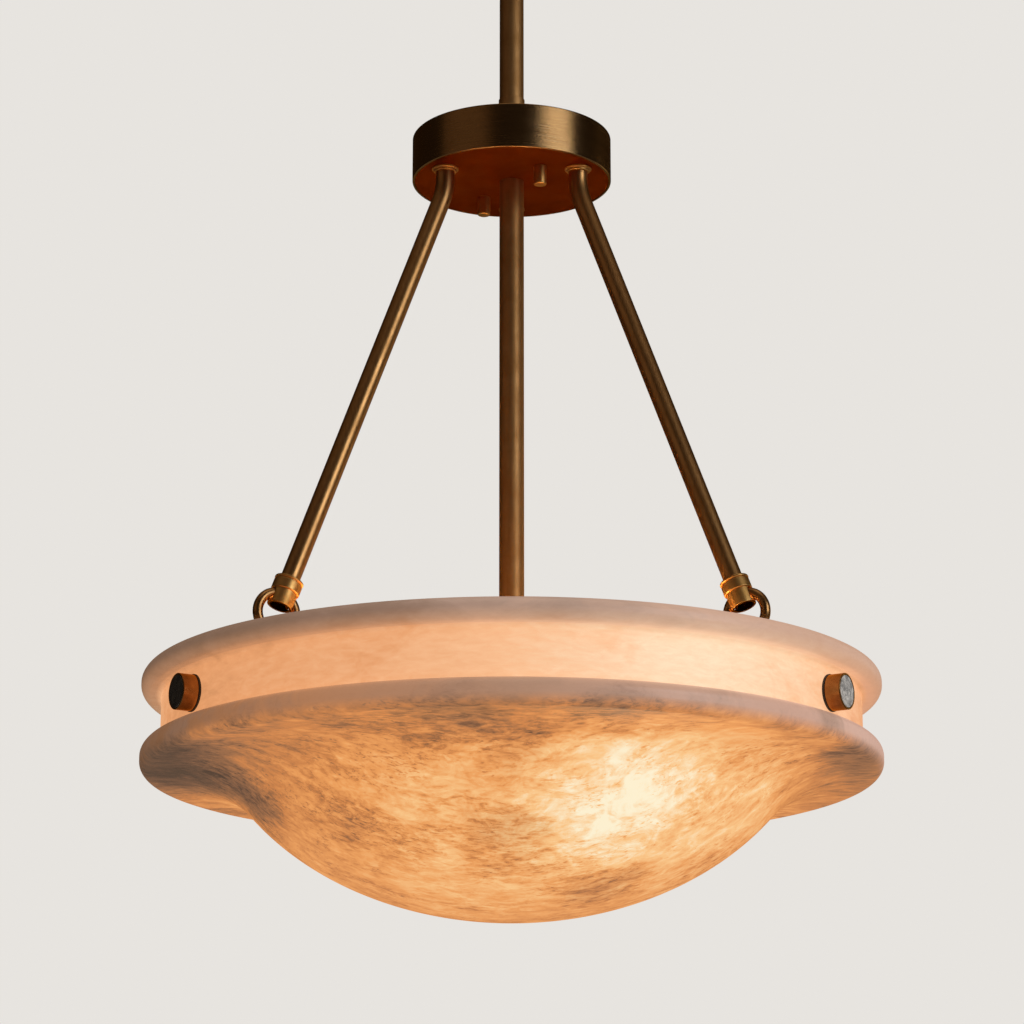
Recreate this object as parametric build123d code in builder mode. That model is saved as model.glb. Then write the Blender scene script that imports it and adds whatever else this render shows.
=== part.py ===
# Alabaster bowl pendant, hung from the ceiling by a tube, with a round hub, three bent arms,
# three ring links and a stone bowl in two parts. Millimetres, +Z up, z = 0 is the ceiling.
import os
from math import asin, atan, cos, degrees, radians, sin, sqrt, tan

from build123d import *

os.makedirs("parts", exist_ok=True)

# ---- Heights, from the ceiling down ----
stem_drop = 237.0  # ceiling to the top of the hub
hub_height = 39.0
hang_drop = 440.5  # underside of the hub to the top of the stone

# ---- Ceiling bar and canopy ----
box_screw_spacing = 88.9
box_slot_width = 4.6
box_slot_length = 12.0
bar_width = 20.0
bar_thick = 3.0
bar_sink = 12.0  # the middle of the bar lies this far below its ends
bar_leg_run = 6.0
bar_margin = 6.0
bar_slot_land = 2.0  # level metal between slot and leg
canopy_dia = 130.0
canopy_height = 30.0
canopy_wall = 1.5
canopy_edge = 6.0
canopy_screw_dia = 4.0
canopy_screw_spacing = 52.0
canopy_screw_stand = 1.0  # screw above the bar
canopy_screw_grip = 6.3  # screw inside its nut
canopy_nut_dia = 9.0
canopy_nut_height = 9.0
canopy_nut_bore = 6.8
canopy_nut_round = 2.7

# ---- Swivel under the canopy ----
nipple_dia = 13.0
nipple_bore = 9.0
nipple_seat = 11.0
nipple_stand = 1.5  # nipple above its nut
swivel_nut_flats = 19.0
swivel_nut_height = 6.0
yoke_dia = 30.0
yoke_cap = 12.0
yoke_slot = 12.6
yoke_edge = 2.0
pin_dia = 8.0
pin_stand = 1.2  # pin beyond the yoke at each end
pin_edge = 0.6
knuckle_radius = 12.0
knuckle_play = 0.5
tongue_thick = 12.0
tongue_collar_dia = 26.0
tongue_collar = 8.0
tongue_neck = 17.0  # pin centre to the top of the tongue's collar
tongue_spigot = 15.0
tongue_edge = 1.5

# ---- Stems ----
stem_dia = 21.0
tube_wall = 1.5
sleeve_dia = 22.6
sleeve_length = 37.5
sleeve_edge = 0.5

# ---- Hub ----
hub_dia = 171.5
hub_wall = 2.0
hub_edge = 0.9
plate_thick = 4.0
plate_recess = 0.5
core_dia = 38.0
core_head = 19.0
core_web = 4.0
core_web_bore = 14.0
core_neck_dia = 27.0
core_neck = 12.0
core_socket = 11.0
strap_width = 40.0
strap_thick = 4.0
strap_margin = 11.5
strap_azimuth = 123.0
strap_nut_flats = 36.0
strap_nut_height = 6.5
cap_nut_spacing = 88.9
cap_nut_dia = 11.0
cap_nut_height = 16.5
cap_nut_bore = 11.6
cap_nut_edge = 1.0
hub_stud_dia = 6.0
hub_stud_shoulder = 9.0
hub_stud_grip = 9.9  # stud inside its cap nut

# ---- Arms ----
arm_count = 3
arm_first_azimuth = -30.0
arm_inset = 20.25  # edge of the hub to the middle of the arm
arm_dia = 16.0
arm_lean = 21.36  # degrees from upright
arm_bend_radius = 60.0
arm_bend_drop = 20.0  # underside of the hub to the corner of the bend
lip_stand = 60.9  # lip of the ferrule above the top of the stone
arm_top_stand = 9.5  # arm end above the plate
arm_nut_flats = 24.0
arm_nut_height = 5.0
rosette_dia = 23.0
rosette_flange = 1.7
rosette_neck_dia = 19.4
rosette_height = 3.6
rosette_round = 0.7

# ---- Ferrule and cup at the end of each arm ----
lip_dia = 24.2
lip_thick = 2.2
lip_round = 0.9
ferrule_neck_dia = 22.0
ferrule_neck = 0.8
ferrule_dia = 23.6
ferrule_top_round = 0.6
ferrule_low_round = 1.2
ferrule_length = 9.6
ferrule_floor = 3.2  # where the recess for the cup starts
arm_seat = 8.0  # arm inside ferrule and cup
cup_neck_dia = 19.8
cup_dia = 21.6
cup_mouth_dia = 20.6
cup_length = 15.0
cup_lip = 1.0  # wall left below the holes for the link
cup_mouth_edge = 0.4

# ---- Ring link ----
link_rod_dia = 8.2
link_radius = 16.7  # to the middle of the rod
link_play = 0.5  # around the rod in the cup's holes
eye_play = 0.75  # around the rod in the bracket's eye

# ---- Hanger bracket ----
bracket_width = 20.0
bracket_thick = 4.0
bracket_bend = 6.0
bracket_shelf_drop = 20.0  # top of the stone to the middle of the bracket's shelf
bracket_tail = 11.0  # bracket below the stud
pad_thick = 2.3
pad_height = 24.0
pad_play = 0.3  # pad to stone

# ---- Stone ----
rim_dia = 610.0  # of the bowl's rim and of the flange above it
flange_thick = 18.0
flange_round = 8.0
flange_overhang = 16.5  # flange beyond the band
band_wall = 18.0
band_cove = 3.0
collar_height = 60.0
collar_top_round = 5.0
bond_thick = 0.5
bond_width = 12.0
rim_thick = 22.0
rim_round = 9.0
rim_flat = 25.0  # edge of the rim to where the cove starts
rim_width = 37.0  # edge of the rim to the bowl's mouth
bowl_depth = 137.0
bowl_wall = 16.0
belly_inset = 45.0  # edge of the rim to the widest of the belly's ellipse
belly_height = 196.0

# ---- Studs on the band ----
stud_drop = 40.5  # top of the stone to the middle of the stud
stud_dia = 29.0
stud_length = 13.1
stud_edge = 0.6
stud_insert_dia = 25.8
stud_insert_thick = 1.0
stud_insert_sink = 0.2
stud_washer_dia = 30.0
stud_washer_thick = 1.4
stud_bolt_dia = 8.0
stud_bolt_grip = 8.0  # bolt inside the button
bolt_clearance = 0.4
bolt_tail = 3.0
nut_flats = 13.0
nut_height = 6.5
nut_washer_dia = 18.0
nut_washer_thick = 1.6

# ---- Lamps ----
lamp_count = 3
lamp_first_azimuth = -70.0
lamp_drop = 46.5  # top of the stone to where the lamp axes meet
lamp_dip = 20.0  # degrees below level
cluster_dia = 44.0
cluster_above = 20.0
cluster_below = 18.0
cluster_neck_dia = 28.0
cluster_neck = 8.0
cluster_edge = 2.0
stem_seat = 14.0
finial_dia = 16.0
finial_height = 12.0
finial_round = 5.6
finial_screw_dia = 8.0
finial_screw = 8.0
lamp_nipple_dia = 10.0
lamp_nipple_bore = 7.0
lamp_nipple_start = 15.0
socket_start = 30.0
socket_length = 48.0
socket_back_dia = 30.0
socket_dia = 38.0
socket_lip_dia = 41.0
socket_lip = 3.0
socket_step = 10.0
socket_cavity_dia = 27.0
socket_cavity = 27.0
bulb_cap_dia = 26.0
bulb_cap_length = 24.0
bulb_cap_tip = 1.5
bulb_cap_taper = 6.0
bulb_contact_dia = 11.0
bulb_threads = 4
bulb_thread_pitch = 3.6
bulb_thread_depth = 0.8
bulb_neck_dia = 27.0
bulb_neck = 10.0
bulb_dia = 60.0
bulb_length = 84.0
bulb_flare_angle = 125.0
glass_wall = 1.2

# ---- Fits ----
running_fit = 0.05  # radial, where one piece turns in another
seat_fit = 0.1  # radial, where a piece is seated for good
face_gap = 0.4  # between faces that slide past each other
end_gap = 1.0  # beyond the end of a screw


def ring_of_azimuths(count, first):
    return [first + 360.0 * step / count for step in range(count)]


def export_each(part, name, azimuths):
    # one copy at each azimuth about the stem, every copy a piece of its own
    for number, azimuth in enumerate(azimuths, start=1):
        copy = part.rotate(Axis.Z, azimuth)
        copy.label = f"{name}_{number}"
        export_step(copy, f"parts/{name}_{number}.step")


def export_set(part, name, azimuths):
    # a set of identical small pieces about the stem, kept together
    with BuildPart() as pieces:
        for azimuth in azimuths:
            add(part.rotate(Axis.Z, azimuth))
    pieces.part.label = name
    export_step(pieces.part, f"parts/{name}.step")


def cove_to_belly(start_radius, start_z, radius, height, centre_z):
    # The cove leaves the rim level and runs tangent into the belly's ellipse.
    # Returns the ellipse angle of the join and the cove's radius.
    low, high = 0.2, 1.5
    for _ in range(60):
        angle = (low + high) / 2
        slope = atan(height / radius * tan(angle))
        cove = (start_radius - radius * sin(angle)) / sin(slope)
        cove_end = start_z - cove * (1 - cos(slope))
        if cove_end > centre_z - height * cos(angle):
            low = angle
        else:
            high = angle
    return angle, slope, cove


arm_azimuths = ring_of_azimuths(arm_count, arm_first_azimuth)
lamp_azimuths = ring_of_azimuths(lamp_count, lamp_first_azimuth)

# ================= Ceiling bar and canopy =================

bar_seat_z = -bar_sink  # top face of the bar's middle
bar_half = box_screw_spacing / 2 + box_slot_length / 2 + bar_margin
bar_shoulder = box_screw_spacing / 2 - box_slot_length / 2 - bar_slot_land
canopy_face_z = -canopy_height

with BuildPart() as crossbar:
    with BuildSketch(Plane.XZ):
        with BuildLine():
            top_points = [
                (-bar_half, 0),
                (-bar_shoulder, 0),
                (-bar_shoulder + bar_leg_run, bar_seat_z),
                (bar_shoulder - bar_leg_run, bar_seat_z),
                (bar_shoulder, 0),
                (bar_half, 0),
            ]
            low_points = [(x, z - bar_thick) for x, z in reversed(top_points)]
            Polyline(*top_points, *low_points, close=True)
        make_face()
    extrude(amount=bar_width / 2, both=True)
    with BuildSketch():
        with GridLocations(box_screw_spacing, 0, 2, 1):
            SlotOverall(box_slot_length, box_slot_width)
        with GridLocations(canopy_screw_spacing, 0, 2, 1):
            Circle(canopy_screw_dia / 2 + seat_fit)
        Circle(nipple_dia / 2 + running_fit)
    extrude(amount=-(bar_sink + 2 * bar_thick), mode=Mode.SUBTRACT)
crossbar.part.label = "crossbar"
export_step(crossbar.part, "parts/crossbar.step")

with BuildPart() as canopy:
    with BuildSketch():
        Circle(canopy_dia / 2)
    extrude(amount=-canopy_height)
    fillet(canopy.edges().sort_by(Axis.Z)[0], radius=canopy_edge)
    offset(amount=-canopy_wall, openings=canopy.faces().sort_by(Axis.Z)[-1])
    with BuildSketch(Plane.XY.offset(canopy_face_z)):
        Circle(nipple_dia / 2 + face_gap)
        with GridLocations(canopy_screw_spacing, 0, 2, 1):
            Circle(canopy_screw_dia / 2 + face_gap)
    extrude(amount=canopy_wall, mode=Mode.SUBTRACT)
canopy.part.label = "canopy"
export_step(canopy.part, "parts/canopy.step")

with BuildPart() as canopy_screws:
    with BuildSketch(Plane.XY.offset(bar_seat_z + canopy_screw_stand)):
        with GridLocations(canopy_screw_spacing, 0, 2, 1):
            Circle(canopy_screw_dia / 2)
    extrude(amount=canopy_face_z - canopy_screw_grip - bar_seat_z - canopy_screw_stand)
canopy_screws.part.label = "canopy_screws"
export_step(canopy_screws.part, "parts/canopy_screws.step")

with BuildPart() as canopy_nuts:
    with BuildSketch(Plane.XY.offset(canopy_face_z)):
        with GridLocations(canopy_screw_spacing, 0, 2, 1):
            Circle(canopy_nut_dia / 2)
    extrude(amount=-canopy_nut_height)
    fillet(canopy_nuts.edges().group_by(Axis.Z)[0], radius=canopy_nut_round)
    with BuildSketch(Plane.XY.offset(canopy_face_z)):
        with GridLocations(canopy_screw_spacing, 0, 2, 1):
            Circle(canopy_screw_dia / 2 + seat_fit)
    extrude(amount=-canopy_nut_bore, mode=Mode.SUBTRACT)
canopy_nuts.part.label = "canopy_nuts"
export_step(canopy_nuts.part, "parts/canopy_nuts.step")

# ================= Swivel =================

yoke_top_z = canopy_face_z - face_gap
pin_z = yoke_top_z - yoke_cap - knuckle_radius - knuckle_play
nut_seat_z = bar_seat_z + 2 * running_fit

with BuildPart() as swivel_nipple:
    with BuildSketch(Plane.XY.offset(yoke_top_z - nipple_seat)):
        Circle(nipple_dia / 2)
        Circle(nipple_bore / 2, mode=Mode.SUBTRACT)
    extrude(amount=nut_seat_z + swivel_nut_height + nipple_stand - yoke_top_z + nipple_seat)
swivel_nipple.part.label = "swivel_nipple"
export_step(swivel_nipple.part, "parts/swivel_nipple.step")

with BuildPart() as swivel_nut:
    with BuildSketch(Plane.XY.offset(nut_seat_z)):
        RegularPolygon(swivel_nut_flats / 2, 6, major_radius=False)
        Circle(nipple_dia / 2 + seat_fit, mode=Mode.SUBTRACT)
    extrude(amount=swivel_nut_height)
swivel_nut.part.label = "swivel_nut"
export_step(swivel_nut.part, "parts/swivel_nut.step")

with BuildPart() as swivel_yoke:
    with BuildSketch(Plane.XY.offset(yoke_top_z)):
        Circle(yoke_dia / 2)
    extrude(amount=pin_z - knuckle_radius - yoke_top_z)
    fillet(swivel_yoke.edges().sort_by(Axis.Z)[-1], radius=yoke_edge)
    with BuildSketch(Plane.YZ):
        with Locations((0, (yoke_top_z + pin_z) / 2)):
            Rectangle(2 * knuckle_radius, yoke_top_z - pin_z)
        with Locations((0, pin_z)):
            Circle(knuckle_radius)
        with Locations((0, yoke_top_z - yoke_cap / 2)):
            Rectangle(yoke_dia, yoke_cap)
    extrude(amount=yoke_dia, both=True, mode=Mode.INTERSECT)
    with BuildSketch(Plane.XZ):
        with Locations((0, (yoke_top_z - yoke_cap + pin_z - knuckle_radius) / 2)):
            Rectangle(yoke_slot, yoke_top_z - yoke_cap - pin_z + knuckle_radius)
    extrude(amount=yoke_dia, both=True, mode=Mode.SUBTRACT)
    with BuildSketch(Plane.XY.offset(yoke_top_z)):
        Circle(nipple_dia / 2 + seat_fit)
    extrude(amount=-nipple_seat, mode=Mode.SUBTRACT)
    with BuildSketch(Plane.XY.offset(yoke_top_z)):
        Circle(nipple_bore / 2)
    extrude(amount=-yoke_cap, mode=Mode.SUBTRACT)
    with BuildSketch(Plane.YZ):
        with Locations((0, pin_z)):
            Circle(pin_dia / 2 + seat_fit)
    extrude(amount=yoke_dia, both=True, mode=Mode.SUBTRACT)
swivel_yoke.part.label = "swivel_yoke"
export_step(swivel_yoke.part, "parts/swivel_yoke.step")

with BuildPart() as swivel_pin:
    with BuildSketch(Plane.YZ):
        with Locations((0, pin_z)):
            Circle(pin_dia / 2)
    extrude(amount=yoke_dia / 2 + pin_stand, both=True)
    chamfer(swivel_pin.edges().filter_by(GeomType.CIRCLE), length=pin_edge)
swivel_pin.part.label = "swivel_pin"
export_step(swivel_pin.part, "parts/swivel_pin.step")

tongue_seat_z = pin_z - tongue_neck - tongue_collar  # top of the upper stem
with BuildPart() as swivel_tongue:
    with BuildSketch(Plane.YZ):
        with Locations((0, pin_z)):
            Circle(knuckle_radius)
        with Locations((0, pin_z - tongue_neck / 2)):
            Rectangle(2 * knuckle_radius, tongue_neck)
    extrude(amount=tongue_thick / 2, both=True)
    with BuildSketch(Plane.XY.offset(pin_z - tongue_neck)):
        Circle(tongue_collar_dia / 2)
    extrude(amount=-tongue_collar)
    fillet(swivel_tongue.edges().filter_by(GeomType.CIRCLE).sort_by(Axis.Z)[0], radius=tongue_edge)
    with BuildSketch(Plane.XY.offset(tongue_seat_z)):
        Circle(stem_dia / 2 - tube_wall - seat_fit)
    extrude(amount=-tongue_spigot)
    with BuildSketch(Plane.XY.offset(tongue_seat_z - tongue_spigot)):
        Circle(nipple_bore / 2)
    extrude(amount=tongue_spigot + tongue_collar, mode=Mode.SUBTRACT)
    with BuildSketch(Plane.YZ):
        with Locations((0, pin_z)):
            Circle(pin_dia / 2 + running_fit)
    extrude(amount=yoke_dia, both=True, mode=Mode.SUBTRACT)
swivel_tongue.part.label = "swivel_tongue"
export_step(swivel_tongue.part, "parts/swivel_tongue.step")

# ================= Hub and stems =================

hub_top_z = -stem_drop
hub_low_z = hub_top_z - hub_height
plate_low_z = hub_low_z + plate_recess
plate_top_z = plate_low_z + plate_thick
core_top_z = hub_top_z - hub_wall
strap_top_z = core_top_z - core_head
strap_low_z = strap_top_z - strap_thick
upper_stem_end_z = core_top_z - core_socket
lower_stem_top_z = upper_stem_end_z - core_web

with BuildPart() as upper_stem:
    with BuildSketch(Plane.XY.offset(upper_stem_end_z)):
        Circle(stem_dia / 2)
        Circle(stem_dia / 2 - tube_wall, mode=Mode.SUBTRACT)
    extrude(amount=tongue_seat_z - upper_stem_end_z)
upper_stem.part.label = "upper_stem"
export_step(upper_stem.part, "parts/upper_stem.step")

with BuildPart() as stem_sleeve:
    with BuildSketch(Plane.XY.offset(hub_top_z)):
        Circle(sleeve_dia / 2)
    extrude(amount=sleeve_length)
    fillet(stem_sleeve.edges().sort_by(Axis.Z)[-1], radius=sleeve_edge)
    with BuildSketch(Plane.XY.offset(hub_top_z)):
        Circle(stem_dia / 2 + seat_fit)
    extrude(amount=sleeve_length, mode=Mode.SUBTRACT)
stem_sleeve.part.label = "stem_sleeve"
export_step(stem_sleeve.part, "parts/stem_sleeve.step")

with BuildPart() as hub_cover:
    with BuildSketch(Plane.XY.offset(hub_low_z)):
        Circle(hub_dia / 2)
    extrude(amount=hub_height)
    chamfer(hub_cover.edges().filter_by(GeomType.CIRCLE), length=hub_edge)
    with BuildSketch(Plane.XY.offset(hub_low_z)):
        Circle(hub_dia / 2 - hub_wall)
    extrude(amount=hub_height - hub_wall, mode=Mode.SUBTRACT)
    with BuildSketch(Plane.XY.offset(hub_top_z)):
        Circle(stem_dia / 2 + 2 * seat_fit)
    extrude(amount=-hub_wall, mode=Mode.SUBTRACT)
hub_cover.part.label = "hub_cover"
export_step(hub_cover.part, "parts/hub_cover.step")

with BuildPart() as hub_core:
    with BuildSketch(Plane.XY.offset(core_top_z)):
        Circle(core_dia / 2)
    extrude(amount=-core_head)
    with BuildSketch(Plane.XY.offset(strap_top_z)):
        Circle(core_neck_dia / 2)
    extrude(amount=-core_neck)
    with BuildSketch(Plane.XY.offset(core_top_z)):
        Circle(stem_dia / 2 + seat_fit)
    extrude(amount=-core_socket, mode=Mode.SUBTRACT)
    with BuildSketch(Plane.XY.offset(upper_stem_end_z)):
        Circle(core_web_bore / 2)
    extrude(amount=-core_web, mode=Mode.SUBTRACT)
    with BuildSketch(Plane.XY.offset(lower_stem_top_z)):
        Circle(stem_dia / 2 + seat_fit)
    extrude(amount=-(core_head + core_neck), mode=Mode.SUBTRACT)
hub_core.part.label = "hub_core"
export_step(hub_core.part, "parts/hub_core.step")

with BuildPart() as hub_strap:
    with BuildSketch(Plane.XY.offset(strap_low_z)):
        with Locations(Rotation(0, 0, strap_azimuth)):
            SlotOverall(cap_nut_spacing + 2 * strap_margin, strap_width)
        Circle(core_neck_dia / 2 + seat_fit, mode=Mode.SUBTRACT)
        with PolarLocations(cap_nut_spacing / 2, 2, start_angle=strap_azimuth):
            Circle(hub_stud_dia / 2 + seat_fit, mode=Mode.SUBTRACT)
    extrude(amount=strap_thick)
hub_strap.part.label = "hub_strap"
export_step(hub_strap.part, "parts/hub_strap.step")

with BuildPart() as hub_strap_nut:
    with BuildSketch(Plane.XY.offset(strap_low_z)):
        RegularPolygon(strap_nut_flats / 2, 6, major_radius=False)
        Circle(core_neck_dia / 2 + seat_fit, mode=Mode.SUBTRACT)
    extrude(amount=-strap_nut_height)
hub_strap_nut.part.label = "hub_strap_nut"
export_step(hub_strap_nut.part, "parts/hub_strap_nut.step")

with BuildPart() as hub_studs:
    with BuildSketch(Plane.XY.offset(strap_top_z)):
        with PolarLocations(cap_nut_spacing / 2, 2, start_angle=strap_azimuth):
            Circle(hub_stud_dia / 2)
    extrude(amount=plate_low_z - hub_stud_grip - strap_top_z)
    with BuildSketch(Plane.XY.offset(strap_low_z)):
        with PolarLocations(cap_nut_spacing / 2, 2, start_angle=strap_azimuth):
            Circle(hub_stud_shoulder / 2)
    extrude(amount=plate_top_z - strap_low_z)
hub_studs.part.label = "hub_studs"
export_step(hub_studs.part, "parts/hub_studs.step")

arm_r = hub_dia / 2 - arm_inset

with BuildPart() as hub_plate:
    with BuildSketch(Plane.XY.offset(plate_low_z)):
        Circle(hub_dia / 2 - hub_wall - seat_fit)
        Circle(stem_dia / 2 + 2 * seat_fit, mode=Mode.SUBTRACT)
        with PolarLocations(arm_r, arm_count, start_angle=arm_first_azimuth):
            Circle(arm_dia / 2 + seat_fit, mode=Mode.SUBTRACT)
        with PolarLocations(cap_nut_spacing / 2, 2, start_angle=strap_azimuth):
            Circle(hub_stud_dia / 2 + seat_fit, mode=Mode.SUBTRACT)
    extrude(amount=plate_thick)
hub_plate.part.label = "hub_plate"
export_step(hub_plate.part, "parts/hub_plate.step")

with BuildPart() as hub_cap_nuts:
    with BuildSketch(Plane.XY.offset(plate_low_z)):
        with PolarLocations(cap_nut_spacing / 2, 2, start_angle=strap_azimuth):
            Circle(cap_nut_dia / 2)
    extrude(amount=-cap_nut_height)
    fillet(hub_cap_nuts.edges().group_by(Axis.Z)[0], radius=cap_nut_edge)
    with BuildSketch(Plane.XY.offset(plate_low_z)):
        with PolarLocations(cap_nut_spacing / 2, 2, start_angle=strap_azimuth):
            Circle(hub_stud_dia / 2 + seat_fit)
    extrude(amount=-cap_nut_bore, mode=Mode.SUBTRACT)
hub_cap_nuts.part.label = "hub_cap_nuts"
export_step(hub_cap_nuts.part, "parts/hub_cap_nuts.step")

stone_top_z = hub_low_z - hang_drop
lamp_z = stone_top_z - lamp_drop
cluster_top_z = lamp_z + cluster_above + cluster_neck
lower_stem_end_z = cluster_top_z - stem_seat

with BuildPart() as lower_stem:
    with BuildSketch(Plane.XY.offset(lower_stem_end_z)):
        Circle(stem_dia / 2)
        Circle(stem_dia / 2 - tube_wall, mode=Mode.SUBTRACT)
    extrude(amount=lower_stem_top_z - lower_stem_end_z)
lower_stem.part.label = "lower_stem"
export_step(lower_stem.part, "parts/lower_stem.step")

# ================= Arms =================
# One arm is drawn in the XZ plane, outwards along +X, and copied about the stem.

lean = radians(arm_lean)
bend_z = hub_low_z - arm_bend_drop
lip_z = stone_top_z + lip_stand
lip_r = arm_r + (bend_z - lip_z) * tan(lean)
along_arm = (sin(lean), 0, -cos(lean))
arm_end = Plane(origin=(lip_r, 0, lip_z), x_dir=along_arm, z_dir=(0, -1, 0))
arm_end_axis = Axis((lip_r, 0, lip_z), along_arm)
arm_end_r = lip_r + arm_seat * sin(lean)
arm_end_z = lip_z - arm_seat * cos(lean)
arm_bore_r = arm_dia / 2 + seat_fit

with BuildPart() as arm:
    with BuildLine(Plane.XZ) as arm_path:
        FilletPolyline(
            (arm_r, plate_top_z + arm_top_stand),
            (arm_r, bend_z),
            (arm_end_r, arm_end_z),
            radius=arm_bend_radius,
        )
    with BuildSketch(Plane(origin=(arm_r, 0, plate_top_z + arm_top_stand), z_dir=(0, 0, -1))):
        Circle(arm_dia / 2)
        Circle(arm_dia / 2 - tube_wall, mode=Mode.SUBTRACT)
    sweep(path=arm_path.wire())
export_each(arm.part, "arm", arm_azimuths)

with BuildPart() as rosette:
    with BuildSketch(Plane.XZ):
        with BuildLine():
            Polyline(
                (arm_bore_r, plate_low_z),
                (rosette_dia / 2, plate_low_z),
                (rosette_dia / 2, plate_low_z - rosette_flange),
                (rosette_neck_dia / 2, plate_low_z - rosette_flange),
                (rosette_neck_dia / 2, plate_low_z - rosette_height),
                (arm_bore_r, plate_low_z - rosette_height),
                close=True,
            )
        make_face()
        outer_corners = vertices().filter_by(lambda v: v.X > arm_bore_r and v.Y < plate_low_z)
        fillet(outer_corners, radius=rosette_round)
    revolve(axis=Axis.Z)
rosette_seat = rosette.part.moved(Location((arm_r, 0, 0)))
export_set(rosette_seat, "arm_rosettes", arm_azimuths)

with BuildPart() as arm_nut:
    with BuildSketch(Plane.XY.offset(plate_top_z)):
        with Locations((arm_r, 0)):
            RegularPolygon(arm_nut_flats / 2, 6, major_radius=False)
            Circle(arm_dia / 2 + seat_fit, mode=Mode.SUBTRACT)
    extrude(amount=arm_nut_height)
export_set(arm_nut.part, "arm_locknuts", arm_azimuths)

with BuildPart() as ferrule:
    with BuildSketch(arm_end):
        with BuildLine():
            Polyline(
                (0, arm_bore_r),
                (0, lip_dia / 2),
                (lip_thick, lip_dia / 2),
                (lip_thick, ferrule_neck_dia / 2),
                (lip_thick + ferrule_neck, ferrule_neck_dia / 2),
                (lip_thick + ferrule_neck, ferrule_dia / 2),
                (ferrule_length, ferrule_dia / 2),
                (ferrule_length, cup_neck_dia / 2 + seat_fit),
                (ferrule_floor, cup_neck_dia / 2 + seat_fit),
                (ferrule_floor, arm_bore_r),
                close=True,
            )
        make_face()
        fillet(vertices().filter_by(lambda v: v.Y > lip_dia / 2 - seat_fit), radius=lip_round)
        band_corners = vertices().filter_by(lambda v: abs(v.Y - ferrule_dia / 2) < running_fit)
        fillet(band_corners.sort_by(Axis.X)[0], radius=ferrule_top_round)
        fillet(vertices().sort_by_distance((ferrule_length, ferrule_dia / 2))[0], radius=ferrule_low_round)
    revolve(axis=arm_end_axis)
export_each(ferrule.part, "arm_ferrule", arm_azimuths)

# Holes for the link: they clear the rod where it leaves the cup's wall on a slant.
cup_end = ferrule_length + cup_length
link_inner = link_radius - link_rod_dia / 2
link_outer = link_radius + link_rod_dia / 2
hole_far = cup_end - cup_lip
link_u = hole_far + sqrt(link_inner**2 - (cup_mouth_dia / 2) ** 2) - link_play  # ring centre, from the lip
hole_near = link_u - sqrt(link_outer**2 - arm_bore_r**2) - link_play

with BuildPart() as cup:
    with BuildSketch(arm_end):
        with BuildLine():
            Polyline(
                (ferrule_floor + seat_fit, arm_bore_r),
                (ferrule_floor + seat_fit, cup_neck_dia / 2),
                (ferrule_length, cup_neck_dia / 2),
                (ferrule_length, cup_dia / 2),
                (cup_end, cup_mouth_dia / 2),
                (cup_end, arm_bore_r),
                close=True,
            )
        make_face()
        fillet(vertices().sort_by_distance((cup_end, cup_mouth_dia / 2))[0], radius=cup_mouth_edge)
    revolve(axis=arm_end_axis)
    across_arm = Plane(origin=arm_end.origin, x_dir=along_arm, z_dir=(cos(lean), 0, sin(lean)))
    with BuildSketch(across_arm):
        with Locations(((hole_near + hole_far) / 2, 0)):
            SlotOverall(hole_far - hole_near, link_rod_dia + 2 * link_play)
    extrude(amount=cup_dia, both=True, mode=Mode.SUBTRACT)
export_each(cup.part, "arm_cup", arm_azimuths)

# ================= Ring links =================

link_r = lip_r + link_u * sin(lean)
link_z = lip_z - link_u * cos(lean)
eye_z = link_z - link_radius

with BuildPart() as link:
    with Locations(Plane(origin=(link_r, 0, link_z), z_dir=(0, 1, 0))):
        Torus(link_radius, link_rod_dia / 2)
export_each(link.part, "ring_link", arm_azimuths)

# ================= Stone =================

rim_r = rim_dia / 2
band_r = rim_r - flange_overhang
band_inner_r = band_r - band_wall
flange_low_z = stone_top_z - flange_thick
collar_low_z = stone_top_z - collar_height
stud_z = stone_top_z - stud_drop


def facing_out(radius, height, azimuth=0.0):
    # a plane square to the radius, its normal pointing away from the stem
    out_x = cos(radians(azimuth))
    out_y = sin(radians(azimuth))
    centre = (radius * out_x, radius * out_y, height)
    return Plane(origin=centre, x_dir=(-out_y, out_x, 0), z_dir=(out_x, out_y, 0))


with BuildPart() as alabaster_collar:
    with BuildSketch(Plane.XZ):
        with BuildLine():
            Polyline(
                (band_inner_r, collar_low_z),
                (band_r, collar_low_z),
                (band_r, flange_low_z),
                (rim_r, flange_low_z),
                (rim_r, stone_top_z),
                (band_inner_r, stone_top_z),
                close=True,
            )
        make_face()
        fillet(vertices().group_by(Axis.X)[-1], radius=flange_round)
        fillet(vertices().sort_by_distance((band_r, flange_low_z))[0], radius=band_cove)
        fillet(vertices().sort_by_distance((band_inner_r, stone_top_z))[0], radius=collar_top_round)
    revolve(axis=Axis.Z)
    for azimuth in arm_azimuths:
        with BuildSketch(facing_out(band_inner_r - band_wall, stud_z, azimuth)):
            Circle(stud_bolt_dia / 2 + bolt_clearance)
        extrude(amount=3 * band_wall, mode=Mode.SUBTRACT)
alabaster_collar.part.label = "alabaster_collar"
export_step(alabaster_collar.part, "parts/alabaster_collar.step")

with BuildPart() as bond_ring:
    with BuildSketch(Plane.XY.offset(collar_low_z)):
        Circle(band_r - (band_wall - bond_width) / 2)
        Circle(band_inner_r + (band_wall - bond_width) / 2, mode=Mode.SUBTRACT)
    extrude(amount=-bond_thick)
bond_ring.part.label = "bond_ring"
export_step(bond_ring.part, "parts/bond_ring.step")

rim_top_z = collar_low_z - bond_thick
rim_low_z = rim_top_z - rim_thick
cove_r = rim_r - rim_flat
mouth_r = rim_r - rim_width
belly_z = rim_top_z - bowl_depth + belly_height  # centre of the belly's ellipse


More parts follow.
